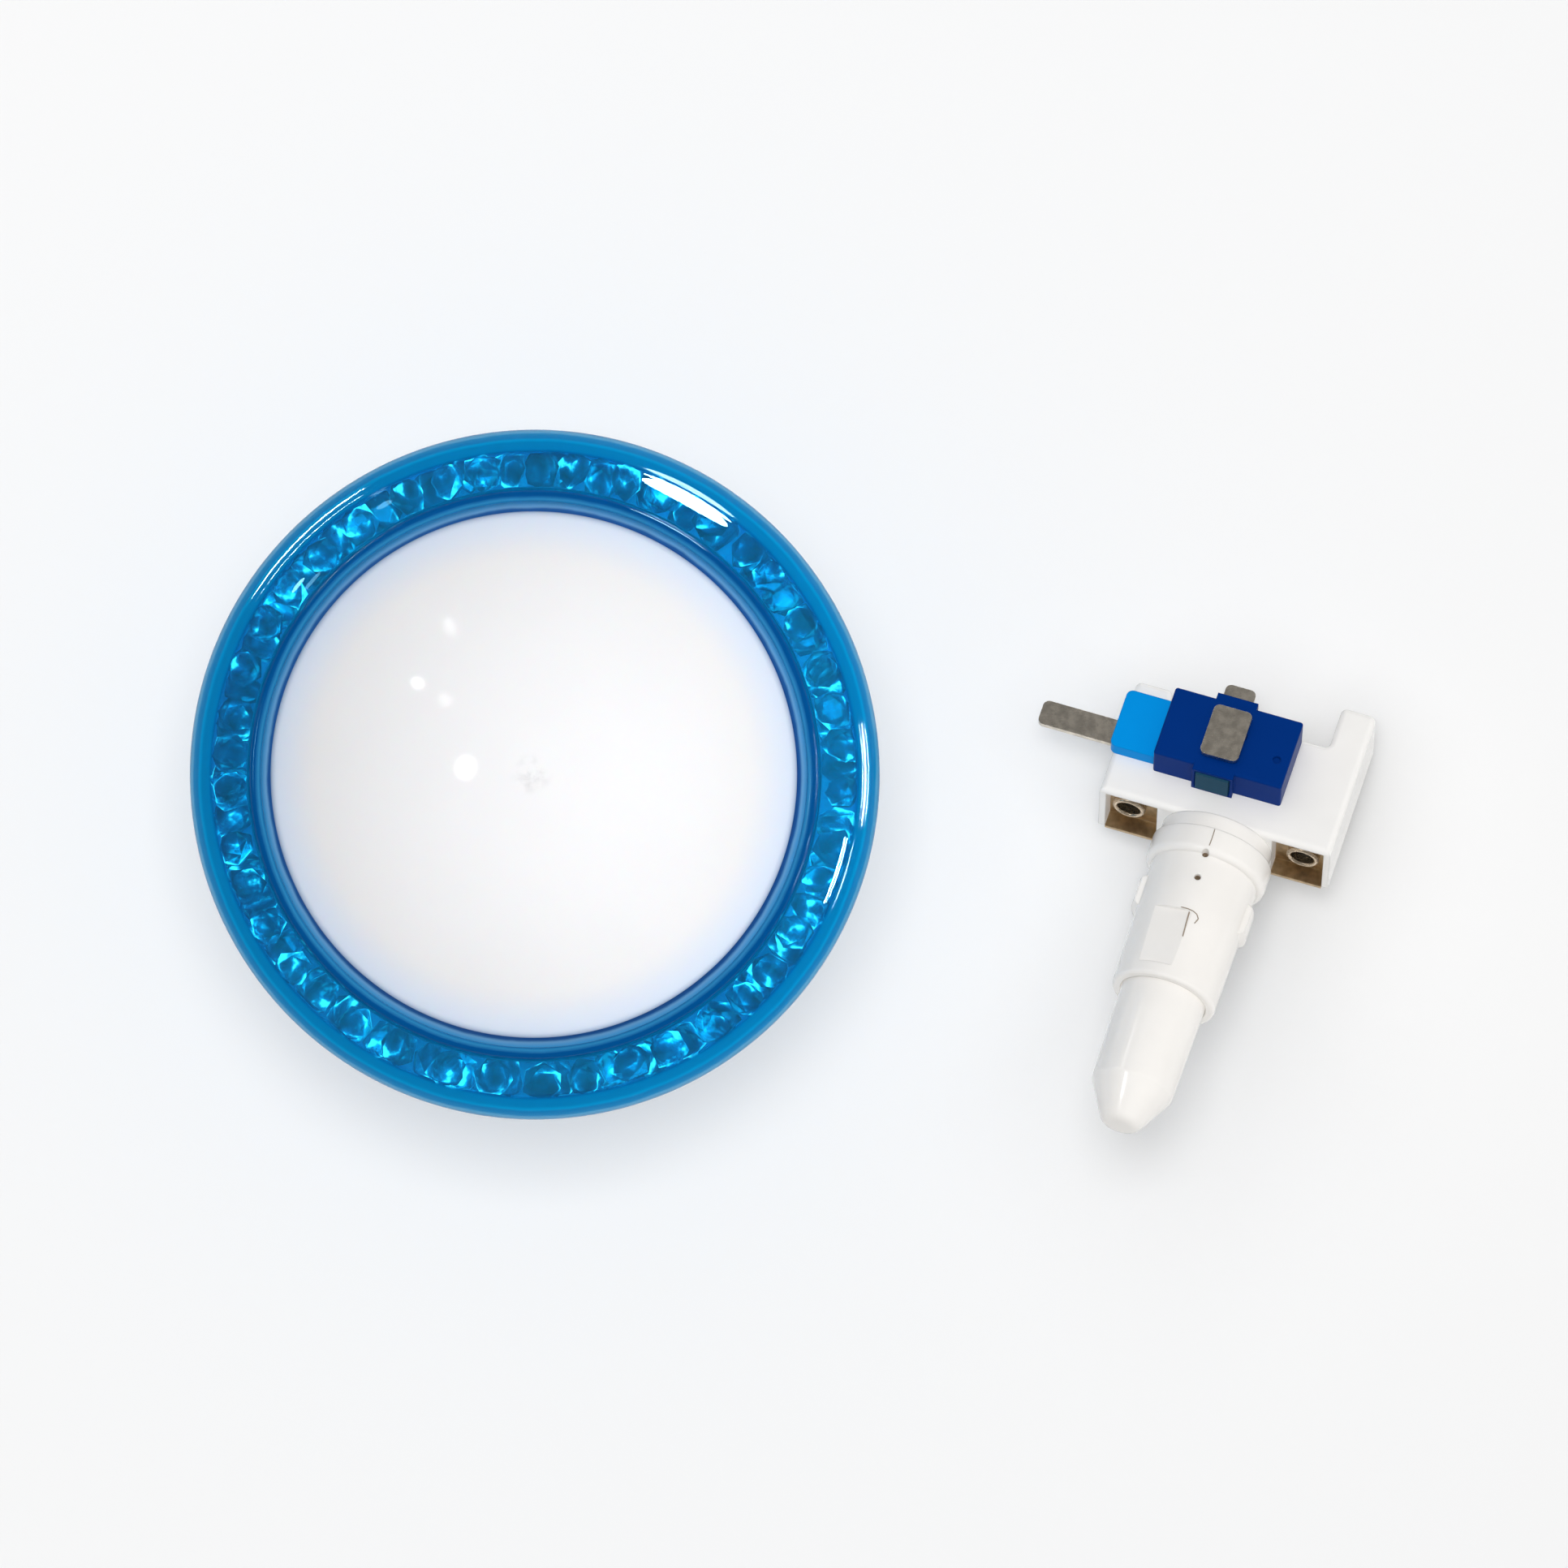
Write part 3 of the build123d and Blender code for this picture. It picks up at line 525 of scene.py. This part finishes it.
def cut_stone(name, colour):
    """Cut stone: each corner has its own depth of blue, with painted caustic swirls and a painted glow,
    white at a few glints.
    """
    finish = Finish(name)
    tone = finish.node("Attribute", {"attribute_name": "tone"}, output="Fac")
    painted_caustic_swirl = finish.noise(0.0013, 2.0)
    mixed = tone * 0.70 + painted_caustic_swirl * 0.50 - 0.10
    body = [(0.16, shaded(colour, 0.10)), (0.50, shaded(colour, 0.28)), (0.85, shaded(colour, 0.8))]
    # Painted glow: the stones give off light of their own, dark blue in most places and white at a few
    # painted glints.
    light = [
        (0.16, (0.0, 0.005, 0.017)),
        (0.42, (0.0, 0.011, 0.036)),
        (0.61, (0.0, 0.025, 0.062)),
        (0.68, (0.0, 0.095, 0.155)),
        (0.73, (0.08, 0.38, 0.48)),
        (0.78, (1.0, 1.0, 1.0)),
    ]
    return finish.shell(
        {
            "Base Color": finish.node("ValToRGB", {"stops": body}, {"Fac": mixed}),
            "Roughness": 0.05,
            "IOR": 1.55,
            "Transmission Weight": 0.6,
            "Specular Tint": RING_GLOSS,
            "Emission Color": finish.node("ValToRGB", {"stops": light}, {"Fac": mixed}),
            "Emission Strength": 1.6,
        }
    )


def woven_grid(grid, wrap_rows=False, wrap_columns=False):
    """Vertices and quads of a grid of points; a wrapped side is joined back to its start."""
    rows, columns = grid.shape[:2]
    index = np.arange(rows * columns).reshape(rows, columns)
    if wrap_rows:
        index = np.vstack([index, index[:1]])
    if wrap_columns:
        index = np.hstack([index, index[:, :1]])
    quads = np.stack([index[:-1, :-1], index[1:, :-1], index[1:, 1:], index[:-1, 1:]], axis=-1)
    return grid.reshape(-1, 3), quads.reshape(-1, 4)


def finished_piece(name, points, quads, material, body, sharp=35.0):
    """Mesh object from points in millimetres: poles merged, faces outwards, smooth up to an angle."""
    mesh = bpy.data.meshes.new(name)
    mesh.from_pydata(points * MM, [], quads.tolist())
    work = bmesh.new()
    work.from_mesh(mesh)
    bmesh.ops.remove_doubles(work, verts=work.verts, dist=1e-7)
    bmesh.ops.dissolve_degenerate(work, edges=work.edges, dist=1e-8)
    bmesh.ops.recalc_face_normals(work, faces=work.faces)
    work.to_mesh(mesh)
    work.free()
    mesh.shade_smooth()
    mesh.set_sharp_from_angle(angle=radians(sharp))
    mesh.materials.append(material)
    piece = bpy.data.objects.new(name, mesh)
    bpy.context.scene.collection.objects.link(piece)
    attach(piece, body)
    return piece


def bent(before, corner, after, setback, steps=7):
    """Rounded corner: a quadratic curve that leaves each side at the setback and pulls to the corner."""
    before, corner, after = (np.array(point, float) for point in (before, corner, after))
    start = corner + setback * (before - corner) / np.linalg.norm(before - corner)
    end = corner + setback * (after - corner) / np.linalg.norm(after - corner)
    t = np.linspace(0, 1, steps)[:, None]
    return (1 - t) ** 2 * start + 2 * t * (1 - t) * corner + t**2 * end


def bowed(start, end, rise, low=0.0, high=1.0, steps=12):
    """Part of a shallow arc between two points that stands proud to the right by its rise."""
    start, end = np.array(start, float), np.array(end, float)
    chord = end - start
    side = np.array([chord[1], -chord[0]]) / np.linalg.norm(chord)
    t = np.linspace(low, high, steps)[:, None]
    return start + t * chord + 4 * rise * t * (1 - t) * side


def turned(profile, steps=256):
    """Profile of radius and height swept round the upright axis: x = r cos a, y = r sin a, z = h."""
    angle = np.linspace(0, 2 * pi, steps, endpoint=False)
    radius, height = profile[:, :1], profile[:, 1:]
    return np.stack([radius * np.cos(angle), radius * np.sin(angle), height + 0 * angle], axis=-1)


def laid(points):
    """Holder points (along the switch, up, out along the lamp) turned and tilted into the frame."""
    pose = bpy.context.scene.button_pose
    across = np.array([cos(pose.turn), -cos(pose.tilt) * sin(pose.turn), sin(pose.tilt) * sin(pose.turn)])
    out = np.array([-sin(pose.turn), -cos(pose.tilt) * cos(pose.turn), sin(pose.tilt) * cos(pose.turn)])
    up = np.array([0.0, sin(pose.tilt), cos(pose.tilt)])
    return np.array(pose.origin) / MM + points @ np.stack([across, up, out])


def dress(node, material):
    """Gives a CAD node one finish."""
    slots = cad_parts[node].data.materials
    slots.clear()
    slots.append(material)


def join_groups(piece, *groups):
    """Puts a piece into groups that some lamps light alone, or that alone stand in a lamp's way."""
    for group in groups:
        bpy.data.collections[group].objects.link(piece)


class BUTTON_OT_dome(Operator):
    """White dome with its skirt and the plunger under it"""

    bl_idname = "button.dome"
    bl_label = "Dome"

    def execute(self, context):
        sizes, colours = context.scene.button_sizes, context.scene.button_colours
        white = dome_plastic("dome_white", colours.dome, sizes.dome_radius)
        radius, rise, foot = sizes.dome_radius / MM, sizes.dome_rise / MM, sizes.dome_foot / MM
        wall = sizes.dome_wall / MM
        skirt = foot + SKIRT_HEIGHT
        edge = SKIRT_EDGE
        profile = np.vstack(
            [
                self.crown(radius, skirt, rise, 48),
                [(radius, foot + edge), (radius - edge, foot), (radius - wall + edge, foot)],
                self.crown(radius - wall, skirt, rise - wall, 24)[::-1],
            ]
        )
        piece = finished_piece("dome", *woven_grid(turned(profile), wrap_columns=True), white, "dome")
        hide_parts("dome_cap")
        join_groups(piece, "whites", "crown")
        dress("plunger", moat_plastic("plunger_blue_painted_shade", sizes.dome_radius))
        return {"FINISHED"}

    def crown(self, radius, skirt, rise, steps):
        """Circle from the apex towards the skirt's top, then a rounded turn into the skirt."""
        ball = (radius**2 + rise**2) / (2 * rise)
        middle = skirt + rise - ball
        reach = np.arcsin(radius / ball)
        stop = reach - CROWN_BEND / ball
        angle = np.linspace(0, stop, steps)
        arc = np.column_stack([ball * np.sin(angle), middle + ball * np.cos(angle)])
        return np.vstack([arc[:-1], bent(arc[-1], (radius, skirt), (radius, skirt - 4), CROWN_BEND)])


class BUTTON_OT_bezel(Operator):
    """Clear ring round the dome, open below over its channel"""

    bl_idname = "button.bezel"
    bl_label = "Clear ring"

    def execute(self, context):
        outer = context.scene.button_sizes.bezel_radius / MM
        inner, edge = outer - CHANNEL_INNER, outer - CHANNEL_OUTER
        bore, step = outer - 10.6, 11.8
        shoulder, collar = (outer - 3.0, 10.7), (inner, 13.8)
        wall = bowed((outer, 7), shoulder, 0.5, 0, 0.8, 10)
        crown = bowed(shoulder, collar, 0.45, 0.12, 1, 14)
        top_out, top_in = (outer - 9.1, 15.3), (bore, 15.3)
        profile = np.vstack(
            [
                [(outer, 0.0)],
                bent((outer, 0), (outer, 7), wall[2], 0.5),
                wall[2:],
                bent(wall[-1], np.array(shoulder) + (0.15, 0.25), crown[0], 1.0)[1:-1],
                crown,
                bent(collar, top_out, top_in, 0.55),
                bent(top_out, top_in, (bore, step), 0.8),
                [(bore, step), (outer - 9.5, step), (outer - 9.5, BASE_TOP), (inner, BASE_TOP)],
                [(inner, ROOF_INNER), (edge, ROOF_OUTER), (edge, BASE_TOP)],
                [(outer - 2.3, BASE_TOP), (outer - 2.3, 0.0)],
            ]
        )
        glass = ring_plastic("clear_blue", context.scene.button_colours.clear, outer * MM)
        points, quads = woven_grid(turned(profile), wrap_rows=True, wrap_columns=True)
        piece = finished_piece("bezel", points, quads, glass, "body", 28.0)
        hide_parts("bezel_ring")
        join_groups(piece, "glossed")
        return {"FINISHED"}


class BUTTON_OT_stones(Operator):
    """Cut stones lying in the ring's channel"""

    bl_idname = "button.stones"
    bl_label = "Cut stones"

    def execute(self, context):
        sizes = context.scene.button_sizes
        points, quads = self.pile(sizes.stone_count, sizes.stone_radius / MM, sizes.bezel_radius / MM)
        gem = cut_stone("cut_stone", context.scene.button_colours.stone)
        piece = finished_piece("stones", points, quads, gem, "body", 1.0)
        tones = np.random.default_rng(3).random(len(piece.data.vertices))
        piece.data.attributes.new("tone", "FLOAT", "POINT").data.foreach_set("value", tones)
        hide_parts("crystal_stones")
        return {"FINISHED"}

    def pile(self, count, size, outer):
        """Round six-sided stones in two layers, each spun and leaned at random.

        A stone is a grid of seven rings; ring k lies at share[k] of the girdle and at height rise[k], and
        every other ring is turned by half a side, so that the facets between them fold into triangles. It
        leans by lean about a level axis at the angle way: p' = p cos + (k x p) sin + k (k . p) (1 - cos).
        The upper layer stands half a step on, and points past the channel are pressed back into it.
        """
        chance = np.random.default_rng(11)
        share = np.array([0.0, 0.55, 0.83, 1.0, 1.0, 0.55, 0.0])[:, None]
        rise = np.array([0.62, 0.62, 0.40, 0.08, -0.08, -0.50, -0.85])[:, None]
        half = np.array([0, 1, 0, 1, 1, 0, 0])[:, None] * pi / 6
        side = np.linspace(0, 2 * pi, 6, endpoint=False) + half
        stone = np.stack([share * np.cos(side), share * np.sin(side), rise + 0 * side], axis=-1)
        stone, faces = woven_grid(stone, wrap_columns=True)
        halves = np.concatenate([faces[:, [0, 1, 2]], faces[:, [0, 2, 3]]])
        layer = np.repeat([0.0, 1.0], count)
        most = np.array([2 * pi, 0.8, 2 * pi])[:, None, None]
        spin, lean, way = chance.uniform(0, 1, (3, 2 * count, 1)) * most
        x, y, z = (stone[:, axis] * size * chance.uniform(0.9, 1.1, (2 * count, 1)) for axis in range(3))
        turned_x = x * np.cos(spin) - y * np.sin(spin)
        turned_y = x * np.sin(spin) + y * np.cos(spin)
        spun = np.stack([turned_x, turned_y, z], axis=-1)
        axle = np.stack([-np.sin(way), np.cos(way), 0 * way], axis=-1)
        lean = lean[..., None]
        leaned = spun * np.cos(lean) + np.cross(axle, spun) * np.sin(lean)
        leaned = leaned + axle * (axle * spun).sum(-1, keepdims=True) * (1 - np.cos(lean))
        step = np.tile(np.arange(count), 2) + layer / 2 + chance.uniform(-0.18, 0.18, 2 * count)
        inner, edge = outer - CHANNEL_INNER, outer - CHANNEL_OUTER
        middle = (inner + edge) / 2
        swept = (step * 2 * pi / count)[:, None] + leaned[..., 0] / middle
        radius = middle + leaned[..., 1] + chance.uniform(-0.5, 0.5, (2 * count, 1))
        radius = np.clip(radius, inner + STONE_ROOM, edge - STONE_ROOM)
        height = leaned[..., 2] + (BASE_TOP + FIRST_LAYER + LAYER_STEP * layer)[:, None]
        slope = (ROOF_INNER - ROOF_OUTER) / (edge - inner)
        roof = ROOF_INNER - STONE_ROOM - (radius - inner) * slope
        height = np.clip(height, BASE_TOP + 0.05, roof)
        points = np.stack([radius * np.cos(swept), radius * np.sin(swept), height], axis=-1)
        facets = halves[None] + (np.arange(2 * count) * len(stone))[:, None, None]
        return points.reshape(-1, 3), facets.reshape(-1, 3)


class BUTTON_OT_base(Operator):
    """Base, threaded barrel, panel nut and return spring"""

    bl_idname = "button.base"
    bl_label = "Base and barrel"

    def execute(self, context):
        colours = context.scene.button_colours
        dress("base_housing", moulded("deep_blue", colours.base, 0.28, 0.004, 0.08))
        dress("panel_nut", moulded("black_nut", (0.018, 0.018, 0.02), 0.42, 0.06))
        steel = plated("spring_steel", (0.55, 0.55, 0.56), 0.25)
        wire = context.scene.button_sizes.wire / MM
        low, high = BASE_TOP + wire / 2 + SPRING_ROOM, SPRING_TOP - wire / 2 - SPRING_ROOM
        points, quads = self.coil(SPRING_RADIUS, low, high, SPRING_TURNS, wire / 2)
        piece = finished_piece("spring", points, quads, steel, "body")
        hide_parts("return_spring")
        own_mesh(piece)
        return {"FINISHED"}

    def coil(self, radius, low, high, turns, thick):
        """Round wire carried along a helix; its end rings close to a point."""
        t = np.linspace(0, 1, 60 * turns)
        angle = 2 * pi * turns * t
        path = np.column_stack([radius * np.cos(angle), radius * np.sin(angle), low + (high - low) * t])
        outward = np.column_stack([np.cos(angle), np.sin(angle), 0 * angle])
        upward = np.array([0.0, 0.0, 1.0])
        side = np.linspace(0, 2 * pi, 12, endpoint=False)
        reach = np.full(len(t), thick)
        reach[[0, -1]] = 0
        ring = np.cos(side)[None, :, None] * outward[:, None] + np.sin(side)[None, :, None] * upward
        return woven_grid(path[:, None] + reach[:, None, None] * ring, wrap_columns=True)


class BUTTON_OT_holder(Operator):
    """Holder moulding, lamp tube, bullet lens and lamp"""

    bl_idname = "button.holder"
    bl_label = "Lamp holder"

    def execute(self, context):
        colours = context.scene.button_colours
        white = moulded("holder_white", colours.holder, 0.20, 0.015, 0.35)
        soft = {
            "Subsurface Weight": 0.2,
            "Subsurface Scale": 0.003,
            "Subsurface Radius": (0.6, 0.6, 0.6),
        }
        milk = moulded("lamp_milk", colours.milk, 0.16, 0.01, 0.3, **soft)
        dress("holder_frame", white)
        dress("lamp_tube", milk)
        for node in ("holder_frame", "lamp_tube"):
            join_groups(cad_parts[node], "whites")
        points, quads = woven_grid(turned(self.bullet(), 128), wrap_columns=True)
        piece = finished_piece("bullet", laid(points), quads, milk, "body")
        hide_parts("lamp_bullet")
        join_groups(piece, "whites", "holder")
        dress("lamp", clear_plastic("lamp_glass", (0.9, 0.9, 0.92), 0.3))
        # Painted shadow: the seam beads are coloured brown to stand for the shade along the mould seams.
        shadow = moulded("seam_painted_shadow", (0.40, 0.33, 0.26), 0.5)
        seams = {
            "flange_seam": ([1.6, 1.8, 1.6], [2.7, 4.2, 5.6], 0.08),
            "tube_hook": ([-7, 1, 7, 12, 15, 12.5], [15.85, 15.85, 15.95, 16.25, 16.85, 17.8], 0.09),
            "tube_seam": ([3.6, 4.2, 5.4], [16.2, 18.0, 20.4], 0.11),
        }
        for name, (bearing, distance, thick) in seams.items():
            points, quads = self.seam(np.array(bearing), np.array(distance), thick)
            finished_piece(name, laid(points), quads, shadow, "body")
        # Partly the brown metal of the pin ends, partly painted shade of the holes they sit in.
        pin = plated("pin_brown_and_painted_shade", (0.34, 0.25, 0.17), 0.35)
        for name, distance in (("flange_pin", 6.6), ("tube_pin", 10.5)):
            points, quads = self.pin_end(distance)
            finished_piece(name, laid(points), quads, pin, "body")
        return {"FINISHED"}

    def bullet(self):
        """Radius and distance out: tip, rounded edge, cone and taper, then the same a wall further in."""
        root, cone, tip = np.array([(6.5, 22.0), (6.1, 42.6), (2.75, 48.9)])
        wall = np.array([(1.0, 0.0), (1.0, 0.0), (1.0, 1.0)])
        crown = np.array([0.0, tip[1]])
        outside = [crown[None], bent(crown, tip, cone, 1.2), bent(tip, cone, root, 0.3, 3), root[None]]
        inside = [root - wall[0], cone - wall[1], tip - wall[2], crown - (0.0, wall[2][1])]
        return np.vstack([*outside, inside])

    def skin(self, distance):
        """Radius of the tube's outside at a distance out: the flange, then a slow taper."""
        body = TUBE_RADIUS - TUBE_TAPER * (distance - TUBE_START) / TUBE_LENGTH
        return np.where(distance < FLANGE_END, FLANGE_RADIUS, body)

    def seam(self, bearing, distance, thick):
        """Thin flat bead carried along a path of bearing and distance on the tube, half of it sunk."""
        steps = np.linspace(0, len(bearing) - 1, 40)
        turn = np.radians(np.interp(steps, np.arange(len(bearing)), bearing))
        out = np.interp(steps, np.arange(len(bearing)), distance)
        normal = np.column_stack([np.sin(turn), np.cos(turn), 0 * turn])
        path = normal * self.skin(out)[:, None] + np.column_stack([0 * out, 0 * out, out])
        ahead = np.gradient(path, axis=0)
        beside = np.cross(ahead / np.linalg.norm(ahead, axis=1, keepdims=True), normal)
        reach = np.full(len(steps), thick)
        reach[[0, -1]] = 0
        side = np.linspace(0, 2 * pi, 10, endpoint=False)[None, :, None]
        ring = np.cos(side) * beside[:, None] + 0.5 * np.sin(side) * normal[:, None]
        return woven_grid(path[:, None] + reach[:, None, None] * ring, wrap_columns=True)

    def pin_end(self, distance):
        """Low ball in a hole: radius PIN_RADIUS sin a, depth under the skin PIN_SINK - PIN_RISE cos a."""
        angle = np.linspace(0, pi, 9)[:, None]
        side = np.linspace(0, 2 * pi, 20, endpoint=False)
        radius = PIN_RADIUS * np.sin(angle)
        high = TUBE_RADIUS - PIN_SINK + PIN_RISE * np.cos(angle) + 0 * side
        rings = np.stack([radius * np.cos(side), high, distance + radius * np.sin(side)], axis=-1)
        return woven_grid(rings, wrap_columns=True)


class BUTTON_OT_switch(Operator):
    """Microswitch, its terminals and rivets"""

    bl_idname = "button.switch"
    bl_label = "Switch"

    def execute(self, context):
        colours = context.scene.button_colours
        matt = {"Specular IOR Level": 0.03}
        dress("switch_case", moulded("switch_cyan", colours.case, 0.32, 0.02, 0.3, **matt))
        dress("switch_cover", moulded("switch_blue", colours.cover, 0.32, 0.02, 0.3, **matt))
        dress("push_pad", moulded("pad_grey", (0.016, 0.07, 0.12), 0.35, **matt))
        bright = plated("nickel", colours.nickel)
        # Lamp terminals in the recesses: partly the plating's own brown, partly painted shade of the
        # recess.
        brown = plated("dark_nickel", (0.54, 0.40, 0.24), 0.42)
        for node in ("common_terminal", "contact_leaf", "top_terminal", "rear_terminal"):
            dress(node, bright)
        brass = plated("rivet_brass", (0.66, 0.54, 0.40), 0.28)
        for node in ("terminal_rivet_left", "terminal_rivet_right"):
            dress(node, brass)
        for node in ("lamp_terminal_left", "lamp_terminal_right"):
            dress(node, brown)
        # Painted shadow: these discs stand for the shade deep in the rivets' hollow bores.
        dark = plated("bore_painted_shadow", (0.10, 0.10, 0.09), 0.5)
        points, quads = self.bore_end()
        for name, across in (("bore_left", -RIVET_SPREAD), ("bore_right", RIVET_SPREAD)):
            place = np.array([across + RIVET_SHIFT[0], RIVET_SHIFT[1], 0.0])
            finished_piece(name, laid(points + place), quads, dark, "body")
        return {"FINISHED"}

    def bore_end(self):
        """Dished disc as painted shadow in a rivet's bore: BORE_DISH (1 - (r / R) squared) below its edge.
        """
        share = np.linspace(0, 1, 7)[:, None]
        side = np.linspace(0, 2 * pi, 40, endpoint=False)
        low = BORE_FLOOR + 0 * share
        high = BORE_FLOOR + BORE_RIM - BORE_DISH * (1 - share**2)
        radius = BORE_RADIUS * np.vstack([share, share[::-1]])
        height = np.vstack([high, low])
        rings = np.stack([radius * np.cos(side), radius * np.sin(side), height + 0 * side], axis=-1)
        return woven_grid(rings, wrap_columns=True)


class BUTTON_OT_stage(Operator):
    """Pale table, soft lights and the camera above"""

    bl_idname = "button.stage"
    bl_label = "Stage"

    def execute(self, context):
        scene = context.scene
        scene.view_settings.view_transform = "Standard"
        self.table(scene)
        self.world(scene)
        self.lamps(OVERHEAD, FAR, soft=True)
        self.lamps(FILLS, FAR, soft=True, shadow=False)
        self.lamps(SKY, FAR, soft=True)
        self.shade_holder()
        self.lamps(SPOTS, NEAR)
        self.aimed("glossed", STRIPS)
        self.aimed("whites", WHITE_RIMS, soft=True, shadow=False)
        self.aimed("crown", DOME_RIMS, soft=True, shadow=False)
        camera = bpy.data.objects.new("camera", bpy.data.cameras.new("camera"))
        scene.collection.objects.link(camera)
        camera.data.lens = CAMERA_LENS
        camera.data.clip_end = CAMERA_END
        camera.location = CAMERA_PLACE
        scene.camera = camera
        return {"FINISHED"}

    def aimed(self, group, lamps, **kind):
        """Lamps that light only the pieces of one group, which join it as they are made."""
        lit = bpy.data.collections.new(group)
        self.lamps(lamps, NEAR, **kind)
        for name in lamps:
            bpy.data.objects[name].light_linking.receiver_collection = lit

    def shade_holder(self):
        """The table takes no light from the fills, and only the holder stands in the way of its sky."""
        away = bpy.data.collections.new("not_table")
        only = bpy.data.collections.new("table_only")
        holder = bpy.data.collections.new("holder")
        table = bpy.data.objects["table"]
        join_groups(table, "not_table", "table_only")
        away.collection_objects[0].light_linking.link_state = "EXCLUDE"
        for node in ("holder_frame", "lamp_tube", "switch_case", "switch_cover", "common_terminal"):
            join_groups(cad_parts[node], "holder")
        for fill in FILLS:
            bpy.data.objects[fill].light_linking.receiver_collection = away
        sky = bpy.data.objects["holder_sky"].light_linking
        sky.receiver_collection = only
        sky.blocker_collection = holder
        bpy.data.lights["holder_sky"].cycles.use_multiple_importance_sampling = False

    def table(self, scene):
        """Flat square of pale floor under the barrel's end."""
        half = TABLE_HALF
        front = [(-half, -half, TABLE), (half, -half, TABLE)]
        back = [(-half, half, TABLE), (half, half, TABLE)]
        points, quads = woven_grid(np.array([front, back]))
        mesh = bpy.data.meshes.new("table")
        mesh.from_pydata(points * MM, [], quads.tolist())
        finish = Finish("table_white")
        direct = finish.node("LightPath", output="Is Camera Ray")
        mirrored = finish.node("LightPath", output="Is Glossy Ray")
        through = finish.node("LightPath", output="Is Transmission Ray")
        paint = finish.node("BsdfDiffuse", sockets={"Color": TABLE_PAINT})
        glow = finish.node("Emission", sockets={"Color": (1.0, 1.0, 1.0), "Strength": TABLE_GLOW})
        bright = finish.node("AddShader", sockets={0: paint, 1: glow})
        shown = direct.join("MAXIMUM", direct, direct.join("MAXIMUM", mirrored, through))
        surface = finish.node("MixShader", sockets={0: shown, 1: paint, 2: bright})
        mesh.materials.append(finish.close(surface))
        floor = bpy.data.objects.new("table", mesh)
        scene.collection.objects.link(floor)

    def world(self, scene):
        """Even pale surroundings."""
        scene.world = bpy.data.worlds.new("surroundings")
        scene.world.use_nodes = True
        back = scene.world.node_tree.nodes["Background"]
        back.inputs["Color"].default_value = (1.0, 1.0, 1.0, 1.0)
        back.inputs["Strength"].default_value = WORLD_LIGHT

    def lamps(self, table, reach, **kind):
        """Makes the lamps of one table, all at the same distance."""
        for name, (bearing, height, size, power) in table.items():
            self.lamp(name, bearing, height, reach, size, power, **kind)

    def lamp(self, name, bearing, height, reach, size, power, soft=False, shadow=True):
        """Area of light at a bearing and a height in degrees, facing the button.

        A soft one is a rectangle that lights surfaces and isn't mirrored in them. The others are ellipses
        that show only as small reflections in the gloss.
        """
        light = bpy.data.lights.new(name, "AREA")
        light.shape = "RECTANGLE" if soft else "ELLIPSE"
        light.size, light.size_y = size
        light.energy = power
        light.use_shadow = shadow
        lamp = bpy.data.objects.new(name, light)
        bpy.context.scene.collection.objects.link(lamp)
        bearing, height = radians(bearing), radians(height)
        way = Vector((cos(bearing) * cos(height), sin(bearing) * cos(height), sin(height)))
        lamp.location = reach * way
        lamp.rotation_mode = "QUATERNION"
        lamp.rotation_quaternion = way.to_track_quat("Z", "Y")
        lamp.visible_glossy = not soft
        lamp.visible_diffuse = soft
        lamp.visible_transmission = soft
        lamp.visible_camera = False


class BUTTON_PT_panel(Panel):
    """Lists the button's sizes, colours and makers"""

    bl_label = "Push Button"
    bl_idname = "BUTTON_PT_panel"
    bl_space_type = "VIEW_3D"
    bl_region_type = "UI"
    bl_category = "Push Button"

    def draw(self, context):
        layout = self.layout
        for group in (context.scene.button_sizes, context.scene.button_colours, context.scene.button_pose):
            box = layout.box()
            for name in group.__annotations__:
                box.prop(group, name)
        for operator in MAKERS:
            layout.operator(operator.bl_idname)


MAKERS = (
    BUTTON_OT_stage,
    BUTTON_OT_dome,
    BUTTON_OT_bezel,
    BUTTON_OT_stones,
    BUTTON_OT_base,
    BUTTON_OT_holder,
    BUTTON_OT_switch,
)
CLASSES = (ButtonSizes, ButtonColours, HolderPose, *MAKERS, BUTTON_PT_panel)


def register():
    for item in CLASSES:
        bpy.utils.register_class(item)
    bpy.types.Scene.button_sizes = PointerProperty(type=ButtonSizes)
    bpy.types.Scene.button_colours = PointerProperty(type=ButtonColours)
    bpy.types.Scene.button_pose = PointerProperty(type=HolderPose)


def unregister():
    del bpy.types.Scene.button_pose
    del bpy.types.Scene.button_colours
    del bpy.types.Scene.button_sizes
    for item in reversed(CLASSES):
        bpy.utils.unregister_class(item)


def main():
    register()
    bpy.ops.button.stage()
    bpy.ops.button.dome()
    bpy.ops.button.bezel()
    bpy.ops.button.stones()
    bpy.ops.button.base()
    bpy.ops.button.holder()
    bpy.ops.button.switch()


if __name__ == "__main__":
    main()
